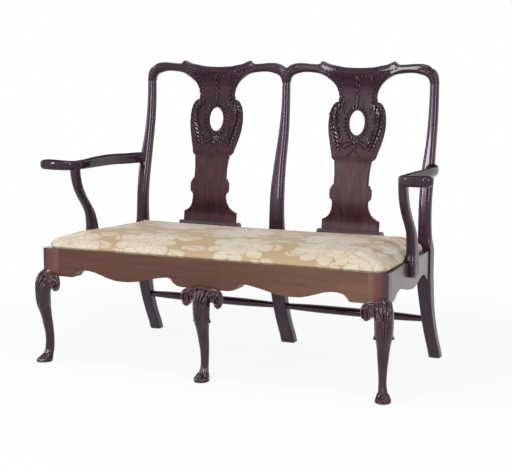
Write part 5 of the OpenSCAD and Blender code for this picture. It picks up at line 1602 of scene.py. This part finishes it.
class SETTEE_OT_stage(bpy.types.Operator):
    """Pale floor, soft lamps and the camera"""

    bl_idname = "settee.stage"
    bl_label = "Stage"

    def execute(self, context):
        scene, light = context.scene, context.scene.settee_stage
        scene.view_settings.view_transform = "Standard"
        mesh = bpy.data.meshes.new("floor")
        corners = [(x * FLOOR_HALF, y * FLOOR_HALF, 0) for x, y in ((-1, -1), (1, -1), (1, 1), (-1, 1))]
        mesh.from_pydata(corners, [], [(0, 1, 2, 3)])
        floor = bpy.data.objects.new("floor", mesh)
        context.collection.objects.link(floor)
        shop = Shop("Pale floor")
        speck = shop.noise(shop.place(), 3.0, 2)
        pale = shop.mix(speck * 0.2, (0.92, 0.92, 0.92), (0.88, 0.88, 0.88))
        matt = shop.node("ShaderNodeBsdfDiffuse", {}, {"Color": pale})
        glow = shop.node("ShaderNodeEmission", {}, {"Color": (1.0, 1.0, 1.0), "Strength": 1.0})
        # The floor keeps the shadow near the settee and turns into the white backdrop away from it
        far = shop.node("ShaderNodeVectorMath", {"operation": "LENGTH"}, [shop.place()])
        seen = shop.white_rays() * shop.wire(far.outputs["Value"]).ramp(0.9, 2.0, light.shadow, 1.0)
        shop.blend(seen, matt.outputs[0], glow.outputs[0], "Material")
        mesh.materials.append(shop.material)
        world = bpy.data.worlds.new("Studio")
        scene.world = world
        world.use_nodes = True
        shop = Shop("Studio", world.node_tree)
        dim = shop.node("ShaderNodeBackground", {}, {"Color": (0.95, 0.96, 1.0, 1), "Strength": light.world})
        white = shop.node("ShaderNodeBackground", {}, {"Color": (1, 1, 1, 1)})
        shop.blend(shop.white_rays(), dim.outputs[0], white.outputs[0], "World")
        for name, place, aim_z, width, height in LAMPS:
            lamp = bpy.data.lights.new(name, "AREA")
            lamp.shape, lamp.size, lamp.size_y = "RECTANGLE", width, height
            lamp.energy = getattr(light, name)
            obj = bpy.data.objects.new(name, lamp)
            context.collection.objects.link(obj)
            way = Vector((0, 0, aim_z)) - Vector(place)
            obj.location = place
            obj.rotation_euler = way.to_track_quat("-Z", "Y").to_euler()
        yaw, pitch, roll = (math.radians(turn) for turn in CAMERA_TURN)
        camera = bpy.data.cameras.new("camera")
        camera.sensor_width, camera.lens = SENSOR, LENS
        camera.shift_x, camera.shift_y = SHIFT
        camera.clip_end = 100
        view = bpy.data.objects.new("camera", camera)
        view.matrix_world = (
            Matrix.Translation(Vector(CAMERA_AT) + Vector((0, FACE_Y, 0))) @ Matrix.Rotation(yaw, 4, "Z")
            @ Matrix.Rotation(math.pi / 2 + pitch, 4, "X") @ Matrix.Rotation(roll, 4, "Z"))
        context.collection.objects.link(view)
        scene.camera = view
        return {"FINISHED"}


# Sizes and colours that a user would change

def tone(name, description, default):
    """A colour that the user sets."""
    return bpy.props.FloatVectorProperty(
        name=name, description=description, default=default, subtype="COLOR", size=3, min=0, max=1)


def length(name, description, default, low, high):
    """A length that the user sets."""
    return bpy.props.FloatProperty(
        name=name, description=description, default=default, min=low, max=high, subtype="DISTANCE",
        unit="LENGTH")


def share(name, description, default, high):
    """A number from 0 up that the user sets."""
    return bpy.props.FloatProperty(name=name, description=description, default=default, min=0, max=high)


def power(name, description, default):
    """A lamp's power that the user sets."""
    return bpy.props.FloatProperty(
        name=name, description=description, default=default, min=0, max=500, subtype="POWER", unit="POWER")


class SETTEE_PG_wood(bpy.types.PropertyGroup):
    """Tones and polish of the mahogany"""

    dark: tone("Dark mahogany", "Dark tone of the polished mahogany", (0.012, 0.0048, 0.0108))
    light: tone("Light mahogany", "Light tone of the polished mahogany", (0.043, 0.0155, 0.0265))
    splat_dark: tone("Dark splat", "Dark tone of the splats", (0.017, 0.0055, 0.0065))
    splat: tone("Light splat", "Light tone of the splats", (0.064, 0.019, 0.016))
    rail_dark: tone("Dark rail", "Dark tone of the faded rails", (0.036, 0.0148, 0.0095))
    rail: tone("Light rail", "Light tone of the faded rails", (0.096, 0.0405, 0.0215))
    gloss: share("Polish", "Weight of the polish over the wood", 0.5, 1)


class SETTEE_PG_carving(bpy.types.PropertyGroup):
    """Depth and detail of the carving"""

    depth: share("Depth", "Depth of the carving as a share", 1.0, 2)
    petals: bpy.props.IntProperty(
        name="Petals", description="Petals round each oval opening", default=24, min=8, max=60)
    step: length("Step", "Spacing of the points on carved faces", 0.0018, 0.001, 0.01)


class SETTEE_PG_cloth(bpy.types.PropertyGroup):
    """Colours and sizes of the seat"""

    ground: tone("Ground", "Colour of the damask's ground", (0.46, 0.33, 0.195))
    figure: tone("Figure", "Colour of the damask's flowers", (0.66, 0.60, 0.49))
    bloom: length("Flower spacing", "Distance between the flowers", 0.27, 0.08, 0.5)
    crown: length("Crown", "Height of the pad over the rails", 0.054, 0.03, 0.07)


class SETTEE_PG_stage(bpy.types.PropertyGroup):
    """Light of the stage"""

    world: share("Room", "Strength of the room's light", 0.32, 3)
    key: power("Key", "Power of the lamp in front", 100)
    side: power("Side", "Power of the lamp at the left", 30)
    fill: power("Fill", "Power of the lamp at the right", 60)
    top: power("Top", "Power of the lamp above", 25)
    shadow: share("Floor glow", "Share of the floor that glows under the settee's shadow", 0.9, 1)


GROUPS = {
    "settee_wood": SETTEE_PG_wood, "settee_carving": SETTEE_PG_carving, "settee_cloth": SETTEE_PG_cloth,
    "settee_stage": SETTEE_PG_stage,
}
OPERATORS = (
    SETTEE_OT_stage, SETTEE_OT_posts, SETTEE_OT_crests, SETTEE_OT_splats, SETTEE_OT_rails, SETTEE_OT_legs,
    SETTEE_OT_arms, SETTEE_OT_seat, SETTEE_OT_inner,
)


class SETTEE_PT_panel(bpy.types.Panel):
    """Sizes, colours and pieces of the settee"""

    bl_idname = "SETTEE_PT_panel"
    bl_label = "Settee"
    bl_space_type = "VIEW_3D"
    bl_region_type = "UI"
    bl_category = "Settee"

    def draw(self, context):
        for key, group in GROUPS.items():
            box = self.layout.box()
            for name in group.__annotations__:
                box.prop(getattr(context.scene, key), name)
        for operator in OPERATORS:
            self.layout.operator(operator.bl_idname)


def register():
    for cls in (*GROUPS.values(), *OPERATORS, SETTEE_PT_panel):
        bpy.utils.register_class(cls)
    for key, group in GROUPS.items():
        setattr(bpy.types.Scene, key, bpy.props.PointerProperty(type=group))


def unregister():
    for key in GROUPS:
        delattr(bpy.types.Scene, key)
    for cls in (SETTEE_PT_panel, *reversed(OPERATORS), *GROUPS.values()):
        bpy.utils.unregister_class(cls)


def main():
    register()
    for operator in OPERATORS:
        group, name = operator.bl_idname.split(".")
        getattr(getattr(bpy.ops, group), name)()


if __name__ == "__main__":
    main()
